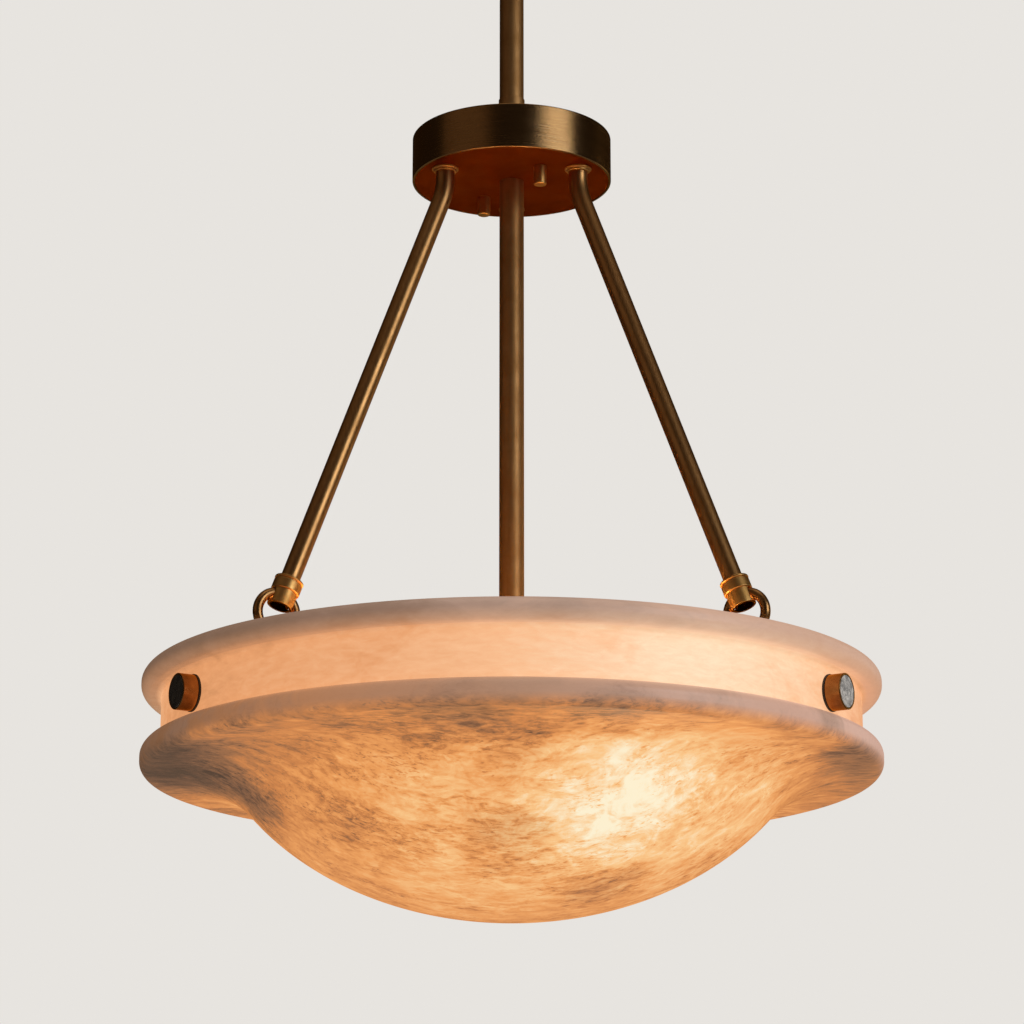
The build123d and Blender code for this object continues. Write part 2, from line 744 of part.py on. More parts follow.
def belly_curve(wall):
    # the bowl's profile from the stem out to the rim, set in from the outer face by the wall
    wide = rim_r - belly_inset - wall
    tall = belly_height - wall
    start_z = rim_low_z + wall
    join, slope, cove = cove_to_belly(cove_r, start_z, wide, tall, belly_z)
    first = 0.0 if wall == 0 else asin((cove_r - mouth_r) / cove)

    def on_cove(turn):
        return (cove_r - cove * sin(turn), start_z - cove * (1 - cos(turn)))

    EllipticalCenterArc((0, belly_z), wide, tall, start_angle=-90, arc_size=degrees(join))
    ThreePointArc(on_cove(slope), on_cove((slope + first) / 2), on_cove(first))
    return on_cove(first)


with BuildPart() as alabaster_bowl:
    with BuildSketch(Plane.XZ):
        with BuildLine():
            outer_end = belly_curve(0)
            inner_end = belly_curve(bowl_wall)
            Line((0, belly_z - belly_height), (0, belly_z - belly_height + bowl_wall))
            Line(inner_end, (mouth_r, rim_top_z))
            Line((mouth_r, rim_top_z), (rim_r, rim_top_z))
            Line((rim_r, rim_top_z), (rim_r, rim_low_z))
            Line((rim_r, rim_low_z), outer_end)
        make_face()
        fillet(vertices().group_by(Axis.X)[-1], radius=rim_round)
    revolve(axis=Axis.Z)
alabaster_bowl.part.label = "alabaster_bowl"
export_step(alabaster_bowl.part, "parts/alabaster_bowl.step")

# ================= Hangers and studs =================
# One hanger is drawn in the XZ plane and copied, like the arm.

shelf_z = stone_top_z - bracket_shelf_drop
pad_inner_r = band_inner_r - pad_thick
tail_r = pad_inner_r - bracket_thick / 2  # middle of the strap beside the stone
half_strap = bracket_thick / 2

with BuildPart() as hanger:
    with BuildSketch(Plane.XZ):
        with BuildLine():
            FilletPolyline(
                (link_r, eye_z + bracket_width / 2),
                (link_r, shelf_z),
                (tail_r, shelf_z),
                (tail_r, stud_z - bracket_tail),
                radius=bracket_bend,
            )
            offset(amount=half_strap, side=Side.BOTH)
        make_face()
    extrude(amount=bracket_width / 2, both=True)
    for radius, height, edge in ((link_r, eye_z, Align.MIN), (tail_r, stud_z, Align.MAX)):
        with BuildSketch(facing_out(radius - bracket_thick, height)):
            Rectangle(2 * bracket_width, 2 * bracket_width, align=(Align.CENTER, edge))
            Circle(bracket_width / 2, mode=Mode.SUBTRACT)
        extrude(amount=2 * bracket_thick, mode=Mode.SUBTRACT)
    with BuildSketch(facing_out(link_r - bracket_thick, eye_z)):
        Circle(link_rod_dia / 2 + eye_play)
    extrude(amount=2 * bracket_thick, mode=Mode.SUBTRACT)
    with BuildSketch(facing_out(tail_r - bracket_thick, stud_z)):
        Circle(stud_bolt_dia / 2 + bolt_clearance)
    extrude(amount=2 * bracket_thick, mode=Mode.SUBTRACT)
export_each(hanger.part, "hanger_bracket", arm_azimuths)

with BuildPart() as pad:
    with BuildSketch(facing_out(pad_inner_r, stud_z)):
        Rectangle(bracket_width, pad_height)
        Circle(stud_bolt_dia / 2 + bolt_clearance, mode=Mode.SUBTRACT)
    extrude(amount=2 * pad_thick)
    with BuildSketch(Plane.XY.offset(stud_z - pad_height)):
        Circle(band_inner_r - pad_play)
    extrude(amount=2 * pad_height, mode=Mode.INTERSECT)
export_set(pad.part, "bracket_pads", arm_azimuths)

with BuildPart() as stud_washer:
    with BuildSketch(facing_out(band_r - pad_thick, stud_z)):
        Circle(stud_washer_dia / 2)
        Circle(stud_bolt_dia / 2 + bolt_clearance, mode=Mode.SUBTRACT)
    extrude(amount=pad_thick + stud_washer_thick)
    with BuildSketch(Plane.XY.offset(stud_z - stud_washer_dia)):
        Circle(band_r)
    extrude(amount=2 * stud_washer_dia, mode=Mode.SUBTRACT)
export_set(stud_washer.part, "stud_washers", arm_azimuths)

button_r = band_r + stud_washer_thick
button_face_r = button_r + stud_length
with BuildPart() as stud_button:
    with BuildSketch(facing_out(button_r, stud_z)):
        Circle(stud_dia / 2)
    extrude(amount=stud_length)
    chamfer(stud_button.edges().sort_by(Axis.X)[-1], length=stud_edge)
    with BuildSketch(facing_out(button_face_r, stud_z)):
        Circle(stud_insert_dia / 2 + seat_fit)
    extrude(amount=-(stud_insert_sink + stud_insert_thick), mode=Mode.SUBTRACT)
    with BuildSketch(facing_out(button_r, stud_z)):
        Circle(stud_bolt_dia / 2 + seat_fit)
    extrude(amount=stud_bolt_grip + end_gap, mode=Mode.SUBTRACT)
export_each(stud_button.part, "stud_button", arm_azimuths)

with BuildPart() as stud_insert:
    with BuildSketch(facing_out(button_face_r - stud_insert_sink, stud_z)):
        Circle(stud_insert_dia / 2)
    extrude(amount=-stud_insert_thick)
export_set(stud_insert.part, "stud_inserts", arm_azimuths)

washer_r = tail_r - half_strap
nut_r = washer_r - nut_washer_thick
bolt_start_r = nut_r - nut_height - bolt_tail
with BuildPart() as stud_bolt:
    with BuildSketch(facing_out(bolt_start_r, stud_z)):
        Circle(stud_bolt_dia / 2)
    extrude(amount=button_r + stud_bolt_grip - bolt_start_r)
export_set(stud_bolt.part, "stud_bolts", arm_azimuths)

with BuildPart() as nut_washer:
    with BuildSketch(facing_out(washer_r, stud_z)):
        Circle(nut_washer_dia / 2)
        Circle(stud_bolt_dia / 2 + bolt_clearance, mode=Mode.SUBTRACT)
    extrude(amount=-nut_washer_thick)
export_set(nut_washer.part, "bracket_washers", arm_azimuths)

with BuildPart() as bracket_nut:
    with BuildSketch(facing_out(nut_r, stud_z)):
        RegularPolygon(nut_flats / 2, 6, major_radius=False)
        Circle(stud_bolt_dia / 2 + seat_fit, mode=Mode.SUBTRACT)
    extrude(amount=-nut_height)
export_set(bracket_nut.part, "bracket_nuts", arm_azimuths)

# ================= Lamps =================
# One lamp is drawn along +X, tipped down by the dip and copied about the stem.


lamp_out = (cos(radians(lamp_dip)), 0, -sin(radians(lamp_dip)))
lamp_axis = Axis((0, 0, lamp_z), lamp_out)
lamp_side = Plane(origin=(0, 0, lamp_z), x_dir=lamp_out, z_dir=(0, -1, 0))


def along_lamp(reach):
    # a plane square to the lamp's axis, this far from the stem
    centre = (reach * lamp_out[0], 0, lamp_z + reach * lamp_out[2])
    return Plane(origin=centre, x_dir=(0, 1, 0), z_dir=lamp_out)


with BuildPart() as lamp_nipple:
    with BuildSketch(along_lamp(lamp_nipple_start)):
        Circle(lamp_nipple_dia / 2)
        Circle(lamp_nipple_bore / 2, mode=Mode.SUBTRACT)
    extrude(amount=socket_start + socket_step - lamp_nipple_start)
export_set(lamp_nipple.part, "lamp_nipples", lamp_azimuths)

# the stock removed from the cluster for one nipple
with BuildPart() as nipple_hole:
    with BuildSketch(along_lamp(lamp_nipple_start)):
        Circle(lamp_nipple_dia / 2 + seat_fit)
    extrude(amount=socket_start)
    with BuildSketch(along_lamp(0)):
        Circle(lamp_nipple_bore / 2)
    extrude(amount=socket_start)

with BuildPart() as lamp_cluster:
    with BuildSketch(Plane.XY.offset(lamp_z + cluster_above)):
        Circle(cluster_dia / 2)
    extrude(amount=-(cluster_above + cluster_below))
    chamfer(lamp_cluster.edges().filter_by(GeomType.CIRCLE), length=cluster_edge)
    with BuildSketch(Plane.XY.offset(lamp_z + cluster_above)):
        Circle(cluster_neck_dia / 2)
    extrude(amount=cluster_neck)
    with BuildSketch(Plane.XY.offset(cluster_top_z)):
        Circle(stem_dia / 2 + seat_fit)
    extrude(amount=-stem_seat, mode=Mode.SUBTRACT)
    with BuildSketch(Plane.XY.offset(lower_stem_end_z)):
        Circle(stem_dia / 2 - tube_wall)
    extrude(amount=lamp_z - lower_stem_end_z, mode=Mode.SUBTRACT)
    with BuildSketch(Plane.XY.offset(lamp_z - cluster_below)):
        Circle(finial_screw_dia / 2 + seat_fit)
    extrude(amount=finial_screw + end_gap, mode=Mode.SUBTRACT)
    for azimuth in lamp_azimuths:
        add(nipple_hole.part.rotate(Axis.Z, azimuth), mode=Mode.SUBTRACT)
lamp_cluster.part.label = "lamp_cluster"
export_step(lamp_cluster.part, "parts/lamp_cluster.step")

with BuildPart() as cluster_finial:
    with BuildSketch(Plane.XY.offset(lamp_z - cluster_below)):
        Circle(finial_dia / 2)
    extrude(amount=-finial_height)
    fillet(cluster_finial.edges().sort_by(Axis.Z)[0], radius=finial_round)
    with BuildSketch(Plane.XY.offset(lamp_z - cluster_below)):
        Circle(finial_screw_dia / 2)
    extrude(amount=finial_screw)
cluster_finial.part.label = "cluster_finial"
export_step(cluster_finial.part, "parts/cluster_finial.step")

socket_end = socket_start + socket_length
with BuildPart() as lamp_socket:
    with BuildSketch(along_lamp(socket_start)):
        Circle(socket_back_dia / 2)
    with BuildSketch(along_lamp(socket_start + socket_step)):
        Circle(socket_dia / 2)
    loft()
    with BuildSketch(along_lamp(socket_start + socket_step)):
        Circle(socket_dia / 2)
    extrude(amount=socket_length - socket_step)
    with BuildSketch(along_lamp(socket_end)):
        Circle(socket_lip_dia / 2)
    extrude(amount=-socket_lip)
    with BuildSketch(along_lamp(socket_end)):
        Circle(socket_cavity_dia / 2 + face_gap)
    extrude(amount=-socket_cavity, mode=Mode.SUBTRACT)
    with BuildSketch(along_lamp(socket_start)):
        Circle(lamp_nipple_dia / 2 + seat_fit)
    extrude(amount=socket_step, mode=Mode.SUBTRACT)
    with BuildSketch(along_lamp(socket_start)):
        Circle(lamp_nipple_bore / 2)
    extrude(amount=socket_length - socket_cavity, mode=Mode.SUBTRACT)
export_each(lamp_socket.part, "lamp_socket", lamp_azimuths)

# The bulb's profile is drawn beside its own axis, x along the lamp, then turned into place.
cap_start = socket_end - socket_cavity + bulb_cap_tip
cap_end = cap_start + bulb_cap_length
globe_r = bulb_dia / 2
globe_x = cap_end + bulb_length - globe_r
neck_r = bulb_neck_dia / 2
flare = radians(bulb_flare_angle)



def bulb_profile(inset):
    # neck, soft shoulder and round end, set in from the outer face; returns both ends
    neck = neck_r - inset
    globe = globe_r - inset
    shoulder = (globe_x + globe * cos(flare), globe * sin(flare))
    Line((cap_end, neck), (cap_end + bulb_neck, neck))
    Spline((cap_end + bulb_neck, neck), shoulder, tangents=((1, 0), (sin(flare), -cos(flare))))
    halfway = (globe_x + globe * cos(flare / 2), globe * sin(flare / 2))
    ThreePointArc(shoulder, halfway, (globe_x + globe, 0))
    return (cap_end, neck), (globe_x + globe, 0)


with BuildPart() as bulb_glass:
    with BuildSketch(lamp_side):
        with BuildLine():
            outer_start, outer_tip = bulb_profile(0)
            inner_start, inner_tip = bulb_profile(glass_wall)
            Line(outer_start, inner_start)
            Line(outer_tip, inner_tip)
        make_face()
    revolve(axis=lamp_axis)
export_each(bulb_glass.part, "bulb_glass", lamp_azimuths)

with BuildPart() as bulb_cap:
    with BuildSketch(along_lamp(cap_end)):
        Circle(bulb_cap_dia / 2)
    extrude(amount=-(bulb_cap_length - bulb_cap_taper))
    with BuildSketch(along_lamp(cap_start + bulb_cap_taper)):
        Circle(bulb_cap_dia / 2)
    with BuildSketch(along_lamp(cap_start)):
        Circle(bulb_contact_dia / 2)
    loft()
    for turn in range(bulb_threads):
        with BuildSketch(along_lamp(cap_end - bulb_thread_pitch * (turn + 0.5))):
            Circle(bulb_cap_dia / 2)
            Circle(bulb_cap_dia / 2 - bulb_thread_depth, mode=Mode.SUBTRACT)
        extrude(amount=-bulb_thread_pitch / 2, mode=Mode.SUBTRACT)
export_each(bulb_cap.part, "bulb_cap", lamp_azimuths)
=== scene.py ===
import math

import bmesh
import bpy
from mathutils import Matrix, Vector


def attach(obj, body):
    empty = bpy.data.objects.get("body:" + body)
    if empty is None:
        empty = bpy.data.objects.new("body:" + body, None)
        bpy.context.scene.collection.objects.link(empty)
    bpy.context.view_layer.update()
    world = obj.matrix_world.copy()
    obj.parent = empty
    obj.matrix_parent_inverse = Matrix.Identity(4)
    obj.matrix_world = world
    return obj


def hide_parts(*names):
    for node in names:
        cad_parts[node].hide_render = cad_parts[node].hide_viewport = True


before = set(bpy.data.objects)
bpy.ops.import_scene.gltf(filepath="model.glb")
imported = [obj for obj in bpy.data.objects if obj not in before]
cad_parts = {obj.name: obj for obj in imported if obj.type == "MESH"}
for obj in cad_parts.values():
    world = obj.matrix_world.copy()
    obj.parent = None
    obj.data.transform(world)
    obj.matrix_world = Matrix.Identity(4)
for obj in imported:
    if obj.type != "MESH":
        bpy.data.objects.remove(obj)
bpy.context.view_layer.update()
mm = 0.001
threeArms = (-30.0, 90.0, 210.0)  # degrees about the stem
threeLamps = (-70.0, 50.0, 170.0)
middle = (0.3, 0.7)  # the range that holds most of a noise


def feed(tree, node, values):
    # sets a node's inputs: each value is another node's output, a number or a colour
    for name, value in values.items():
        socket = node.inputs[name]
        if isinstance(value, bpy.types.NodeSocket):
            tree.links.new(value, socket)
        elif socket.type == "RGBA":
            socket.default_value = (*value, 1.0)
        else:
            socket.default_value = value
    return node


def addNode(tree, kind, values=None, **settings):
    node = tree.nodes.new(kind)
    for key, value in settings.items():
        setattr(node, key, value)
    return feed(tree, node, values or {})


def newMaterial(name, color, metallic, roughness):
    material = bpy.data.materials.new(name)
    material.use_nodes = True
    tree = material.node_tree
    shader = tree.nodes["Principled BSDF"]
    feed(tree, shader, {"Base Color": color, "Metallic": metallic, "Roughness": roughness})
    return material, tree, shader


def objectPoint(tree):
    return addNode(tree, "ShaderNodeTexCoord").outputs["Object"]


def noise(tree, scale, detail, rough, twist=0.0, stretch=(1, 1, 1), turn=(0, 0, 0)):
    # on object coordinates, stretched, and turned by degrees
    mapping = addNode(tree, "ShaderNodeMapping", {
        "Vector": objectPoint(tree), "Scale": stretch, "Rotation": [math.radians(a) for a in turn],
    })
    return addNode(tree, "ShaderNodeTexNoise", {
        "Vector": mapping.outputs["Vector"], "Scale": scale, "Detail": detail, "Roughness": rough,
        "Distortion": twist,
    }).outputs["Fac"]


def remap(tree, value, low, high, newLow, newHigh, kind="LINEAR"):
    return addNode(tree, "ShaderNodeMapRange", {
        "Value": value, "From Min": low, "From Max": high, "To Min": newLow, "To Max": newHigh,
    }, interpolation_type=kind).outputs["Result"]


def maths(tree, operation, first, second, clamp=False):
    node = addNode(tree, "ShaderNodeMath", {0: first, 1: second}, operation=operation, use_clamp=clamp)
    return node.outputs["Value"]


def vectorMaths(tree, operation, first, second=(0, 0, 0)):
    return addNode(tree, "ShaderNodeVectorMath", {0: first, 1: second}, operation=operation).outputs


def ramp(tree, value, stops):
    node = addNode(tree, "ShaderNodeValToRGB", {"Fac": value})
    cells = node.color_ramp.elements
    while len(cells) < len(stops):
        cells.new(0.5)
    for cell, (place, color) in zip(cells, stops):
        cell.position = place
        cell.color = (*color, 1.0)
    return node.outputs["Color"]


def mixColor(tree, factor, first, second):
    return addNode(tree, "ShaderNodeMix", {0: factor, 6: first, 7: second}, data_type="RGBA").outputs[2]


def mixShaders(tree, factor, first, second):
    return addNode(tree, "ShaderNodeMixShader", {0: factor, 1: first.outputs[0], 2: second.outputs[0]})


def bump(tree, shader, height, strength, distance):
    node = addNode(tree, "ShaderNodeBump", {"Height": height, "Strength": strength, "Distance": distance})
    feed(tree, shader, {"Normal": node.outputs["Normal"]})


def brassMaterial(name, look):
    # aged brass: brown patina in soft clouds, fine brush lines
    material, tree, shader = newMaterial(name, look["bright"], 1.0, look["roughness"])
    clouds = noise(tree, look["cloudScale"], 5.0, 0.6, 0.4)
    brushing = noise(tree, 1.0, 3.0, 0.6, stretch=look["brushStretch"])
    color = mixColor(tree, remap(tree, clouds, 0.32, 0.68, 0.0, 1.0), look["dark"], look["bright"])
    color = mixColor(tree, remap(tree, brushing, 0.35, 0.7, 0.0, look["brushTint"]), color, look["line"])
    # painted shade: faces marked as bore, inside the cups and across their mouths, take a near black colour
    if "boreShade" in look:
        marked = addNode(tree, "ShaderNodeAttribute", attribute_name="bore")
        color = mixColor(tree, marked.outputs["Fac"], color, look["boreShade"])
    clouded = remap(tree, clouds, *middle, look["roughness"] + 0.07, look["roughness"] - 0.04)
    feed(tree, shader, {
        "Base Color": color, "Specular Tint": look["edge"],
        "Roughness": maths(tree, "ADD", clouded, remap(tree, brushing, *middle, -0.03, 0.05)),
    })
    bump(tree, shader, remap(tree, brushing, *middle, 0.0, 1.0), look["brushDepth"], 0.0002)
    return material


def plainMetal(name, color, roughness, grain):
    material, tree, shader = newMaterial(name, color, 1.0, roughness)
    speckle = noise(tree, grain, 4.0, 0.6)
    darker = tuple(c * 0.72 for c in color)
    feed(tree, shader, {
        "Base Color": mixColor(tree, remap(tree, speckle, *middle, 0.0, 0.5), color, darker),
        "Roughness": remap(tree, speckle, *middle, roughness - 0.05, roughness + 0.12),
    })
    return material


warmEdge = (1.0, 0.70, 0.42)
brassLooks = {
    "tube": dict(bright=(0.55, 0.285, 0.104), dark=(0.41, 0.195, 0.062), line=(0.62, 0.365, 0.155), roughness=0.50,
                 edge=warmEdge, cloudScale=34.0, brushStretch=(900, 900, 40), brushTint=0.25, brushDepth=0.05),
    "hubSide": dict(bright=(0.38, 0.21, 0.082), dark=(0.29, 0.15, 0.054), line=(0.46, 0.275, 0.125), roughness=0.215,
                    edge=warmEdge, cloudScale=18.0, brushStretch=(14, 14, 3200), brushTint=0.45, brushDepth=0.16),
    # the plate under the hub: brass tinted orange red, the tint a painted reflection of the lit bowl below
    "hubUnderGlowTint": dict(bright=(0.30, 0.085, 0.012), dark=(0.21, 0.052, 0.007), line=(0.36, 0.11, 0.018), roughness=0.42,
                     edge=(0.80, 0.20, 0.03), cloudScale=22.0, brushStretch=(60, 60, 60), brushTint=0.15,
                     brushDepth=0.02),
    "turned": dict(bright=(0.72, 0.41, 0.135), dark=(0.52, 0.255, 0.066), line=(0.78, 0.52, 0.22), roughness=0.37,
                   edge=warmEdge, cloudScale=70.0, brushStretch=(120, 120, 2400), brushTint=0.20, brushDepth=0.02),
    # its last colour, near black, is painted shade for the bores and mouths
    "cup": dict(bright=(0.74, 0.42, 0.130), dark=(0.54, 0.265, 0.064), line=(0.80, 0.53, 0.21), roughness=0.42,
                edge=warmEdge, cloudScale=70.0, brushStretch=(120, 120, 2400), brushTint=0.20, brushDepth=0.02,
                boreShade=(0.018, 0.007, 0.003)),
    "rod": dict(bright=(0.46, 0.235, 0.085), dark=(0.30, 0.140, 0.045), line=(0.54, 0.33, 0.15), roughness=0.26,
                edge=warmEdge, cloudScale=60.0, brushStretch=(500, 500, 500), brushTint=0.2, brushDepth=0.03),
    "button": dict(bright=(0.36, 0.175, 0.058), dark=(0.21, 0.090, 0.028), line=(0.46, 0.25, 0.10), roughness=0.24,
                   edge=warmEdge, cloudScale=60.0, brushStretch=(300, 300, 300), brushTint=0.3, brushDepth=0.06),
    "strap": dict(bright=(0.33, 0.21, 0.09), dark=(0.20, 0.115, 0.045), line=(0.42, 0.29, 0.14), roughness=0.38,
                  edge=warmEdge, cloudScale=40.0, brushStretch=(200, 200, 1500), brushTint=0.25, brushDepth=0.08),
}
brassLooks["arm"] = dict(brassLooks["tube"], roughness=0.33)
brass = {key: brassMaterial(key + "Brass", look) for key, look in brassLooks.items()}
zincSteel = plainMetal("zincSteel", (0.55, 0.54, 0.51), 0.34, 90.0)
print("metals made")


def nearness(tree, point, spots):
    # sum of soft spots, each with its place, reach and strength
    total = None
    for place, reach, strength in spots:
        distance = vectorMaths(tree, "DISTANCE", point, place)["Value"]
        spot = remap(tree, distance, 0.0, reach, strength, 0.0, "SMOOTHSTEP")
        total = spot if total is None else maths(tree, "ADD", total, spot)
    return total


def distanceFromStem(tree, point):
    flat = vectorMaths(tree, "MULTIPLY", point, (1, 1, 0))["Vector"]
    return vectorMaths(tree, "LENGTH", flat)["Value"]


def pushedAbout(tree, point, scale, amount):
    # the point moved by a noise, so that the edges of spots look torn
    push = addNode(tree, "ShaderNodeTexNoise", {"Vector": point, "Scale": scale, "Detail": 4.0})
    centred = vectorMaths(tree, "SUBTRACT", push.outputs["Color"], (0.5, 0.5, 0.5))["Vector"]
    return vectorMaths(tree, "ADD", point, vectorMaths(tree, "MULTIPLY", centred, (amount,) * 3)["Vector"])["Vector"]


def stoneStart(name, look):
    # the material, the place in it, and its noises by name
    material, tree, shader = newMaterial(name, look["color"], 0.0, look["roughness"])
    split = addNode(tree, "ShaderNodeSeparateXYZ", {0: objectPoint(tree)})
    veins = {key: noise(tree, 1.0, *kind, stretch, turn) for key, (stretch, turn, *kind) in look["veins"].items()}
    return material, tree, shader, split.outputs, veins


def stoneEnd(tree, shader, look, glowing, stone, height):
    feed(tree, shader, {
        "Emission Color": glowing, "Emission Strength": look["emission"], "Base Color": stone,
        "Coat Weight": look["coat"], "Coat Roughness": look["coatRoughness"],
    })
    bump(tree, shader, height, *look["bump"])


bowlLook = {
    "color": (0.30, 0.22, 0.16), "roughness": 0.42, "emission": 0.92, "coat": 0.10, "coatRoughness": 0.30,
    "bump": (0.10, 0.0005), "tear": (22.0, 0.060), "cloudInk": 0.30, "inkDepth": 0.28,
    "veins": {  # stretch, turn, detail, roughness, twist
        "strokes": ((54, 150, 135), (5, 3, 6), 9.0, 0.66, 0.8),
        "flecks": ((130, 360, 320), (7, -4, 9), 5.0, 0.62, 0.5),
        "marble": ((26, 40, 38), (9, 0, -7), 9.0, 0.66, 1.6),
        "patches": ((9, 15, 13), (0, 0, 12), 4.0, 0.6, 1.0),
        "hairs": ((120, 520, 460), (4, 6, -5), 4.0, 0.6, 0.9),
        "clusters": ((16, 34, 30), (-6, 0, 8), 4.0, 0.65, 1.2),
    },
    "ranges": {  # from low and high, to low and high
        "uneven": (0.30, 0.62, 1.12, 0.72), "cover": (0.40, 0.64, 0.14, 0.70), "strokes": (0.48, 0.68, 0.0, 0.80),
        "flecks": (0.50, 0.70, 0.0, 0.45), "litInk": (0.30, 0.60, 1.0, 0.35), "base": (0.215, 0.295, 0.560, 0.455),
        "hairs": (0.54, 0.64, 0.0, 0.20), "clusters": (0.48, 0.58, 0.1, 1.0), "wisps": (0.26, 0.46, 0.09, 0.0),
        "cream": (0.33, 0.66, 0.055, -0.065), "mottle": (0.34, 0.62, 0.030, -0.035),
        "cloudTint": (0.35, 0.95, 0.0, 0.16), "outerRim": (0.282, 0.302, 0.0, 1.0),
        "upperRim": (-0.8000, -0.7880, 0.0, 1.0), "sideways": (-0.30, 0.26, 0.0, 1.0),
        "smudge": (0.45, 0.65, 0.0, 0.5),
    },
    "glowColors": [
        (0.00, (0.050, 0.024, 0.012)),
        (0.14, (0.130, 0.056, 0.026)),
        (0.32, (0.330, 0.130, 0.046)),
        (0.46, (0.600, 0.208, 0.052)),
        (0.60, (0.860, 0.345, 0.094)),
        (0.78, (0.975, 0.570, 0.240)),
        (1.00, (1.000, 0.900, 0.650)),
    ],
    "rimLightColors": [  # painted light: darker brown grey at the left, lighter pink grey at the right
        (0.00, (0.150, 0.070, 0.034)),
        (0.20, (0.410, 0.168, 0.070)),
        (0.54, (0.370, 0.202, 0.132)),
        (1.00, (0.560, 0.335, 0.265)),
    ],
    "cloudColor": (0.225, 0.112, 0.066), "smudgeColor": (0.205, 0.128, 0.096),
    "pale": (0.30, 0.20, 0.125), "inked": (0.13, 0.080, 0.048),
    "glows": [  # place, reach, strength, as in clouds and dim
        ((0.066, -0.176, -0.848), 0.108, 0.32),
        ((0.135, -0.178, -0.828), 0.085, 0.14),
        ((0.095, -0.170, -0.850), 0.250, 0.17),
        ((0.160, -0.080, -0.860), 0.140, 0.12),
        ((0.215, -0.130, -0.815), 0.100, 0.07),
        ((-0.064, -0.200, -0.833), 0.130, 0.12),
        ((-0.050, -0.100, -0.890), 0.170, 0.10),
        ((-0.049, -0.048, -0.907), 0.070, 0.05),
        ((0.115, 0.155, -0.845), 0.110, 0.38),
        ((0.120, 0.165, -0.835), 0.230, 0.24),
        ((-0.180, 0.100, -0.845), 0.100, 0.26),
        ((-0.180, 0.120, -0.835), 0.180, 0.14),
    ],
    "clouds": [
        ((-0.206, -0.215, -0.799), 0.034, 0.55),
        ((-0.128, -0.241, -0.799), 0.042, 0.60),
        ((-0.045, -0.286, -0.799), 0.060, 0.75),
        ((-0.039, -0.247, -0.805), 0.040, 0.55),
        ((-0.050, -0.226, -0.815), 0.075, 0.35),
        ((-0.210, -0.070, -0.822), 0.070, 0.80),
        ((-0.137, -0.175, -0.821), 0.050, 0.35),
        ((-0.126, -0.128, -0.859), 0.050, 0.60),
        ((-0.085, -0.140, -0.869), 0.040, 0.35),
        ((-0.012, -0.168, -0.866), 0.050, 0.85),
        ((-0.006, -0.119, -0.892), 0.035, 0.55),
        ((-0.029, -0.040, -0.910), 0.060, 0.45),
        ((-0.108, -0.012, -0.896), 0.050, 0.45),
        ((0.010, -0.230, -0.815), 0.055, 0.65),
        ((0.074, -0.288, -0.798), 0.055, 0.75),
        ((0.094, -0.254, -0.800), 0.040, 0.50),
        ((0.008, -0.158, -0.873), 0.040, 0.45),
        ((0.026, -0.131, -0.886), 0.030, 0.45),
        ((0.056, -0.078, -0.900), 0.048, 0.85),
        ((0.088, -0.080, -0.892), 0.036, 0.80),
        ((0.064, -0.050, -0.904), 0.045, 0.90),
        ((0.157, -0.025, -0.874), 0.050, 0.55),
        ((0.145, -0.140, -0.843), 0.032, 0.40),
        ((0.175, -0.150, -0.825), 0.030, 0.35),
        ((0.214, -0.208, -0.799), 0.040, 0.45),
        ((0.275, -0.112, -0.799), 0.060, 0.80),
        ((-0.110, 0.190, -0.850), 0.080, 0.60),
        ((0.050, 0.240, -0.810), 0.070, 0.55),
        ((0.215, 0.060, -0.825), 0.060, 0.60),
        ((-0.215, 0.130, -0.810), 0.060, 0.50),
    ],
    # painted shade along and under the rim, most at the left
    "dim": [
        ((-0.255, -0.070, -0.812), 0.130, 0.20),
        ((-0.292, -0.030, -0.799), 0.100, 0.26),
        ((-0.275, -0.130, -0.799), 0.080, 0.22),
        ((0.292, -0.060, -0.799), 0.090, 0.16),
        ((-0.030, -0.270, -0.800), 0.130, 0.08),
        ((-0.271, 0.022, -0.799), 0.070, 0.16),
        ((-0.218, -0.068, -0.816), 0.060, 0.07),
        ((0.267, -0.119, -0.799), 0.055, 0.12),
        ((-0.187, -0.169, -0.803), 0.060, 0.05),
    ],
}


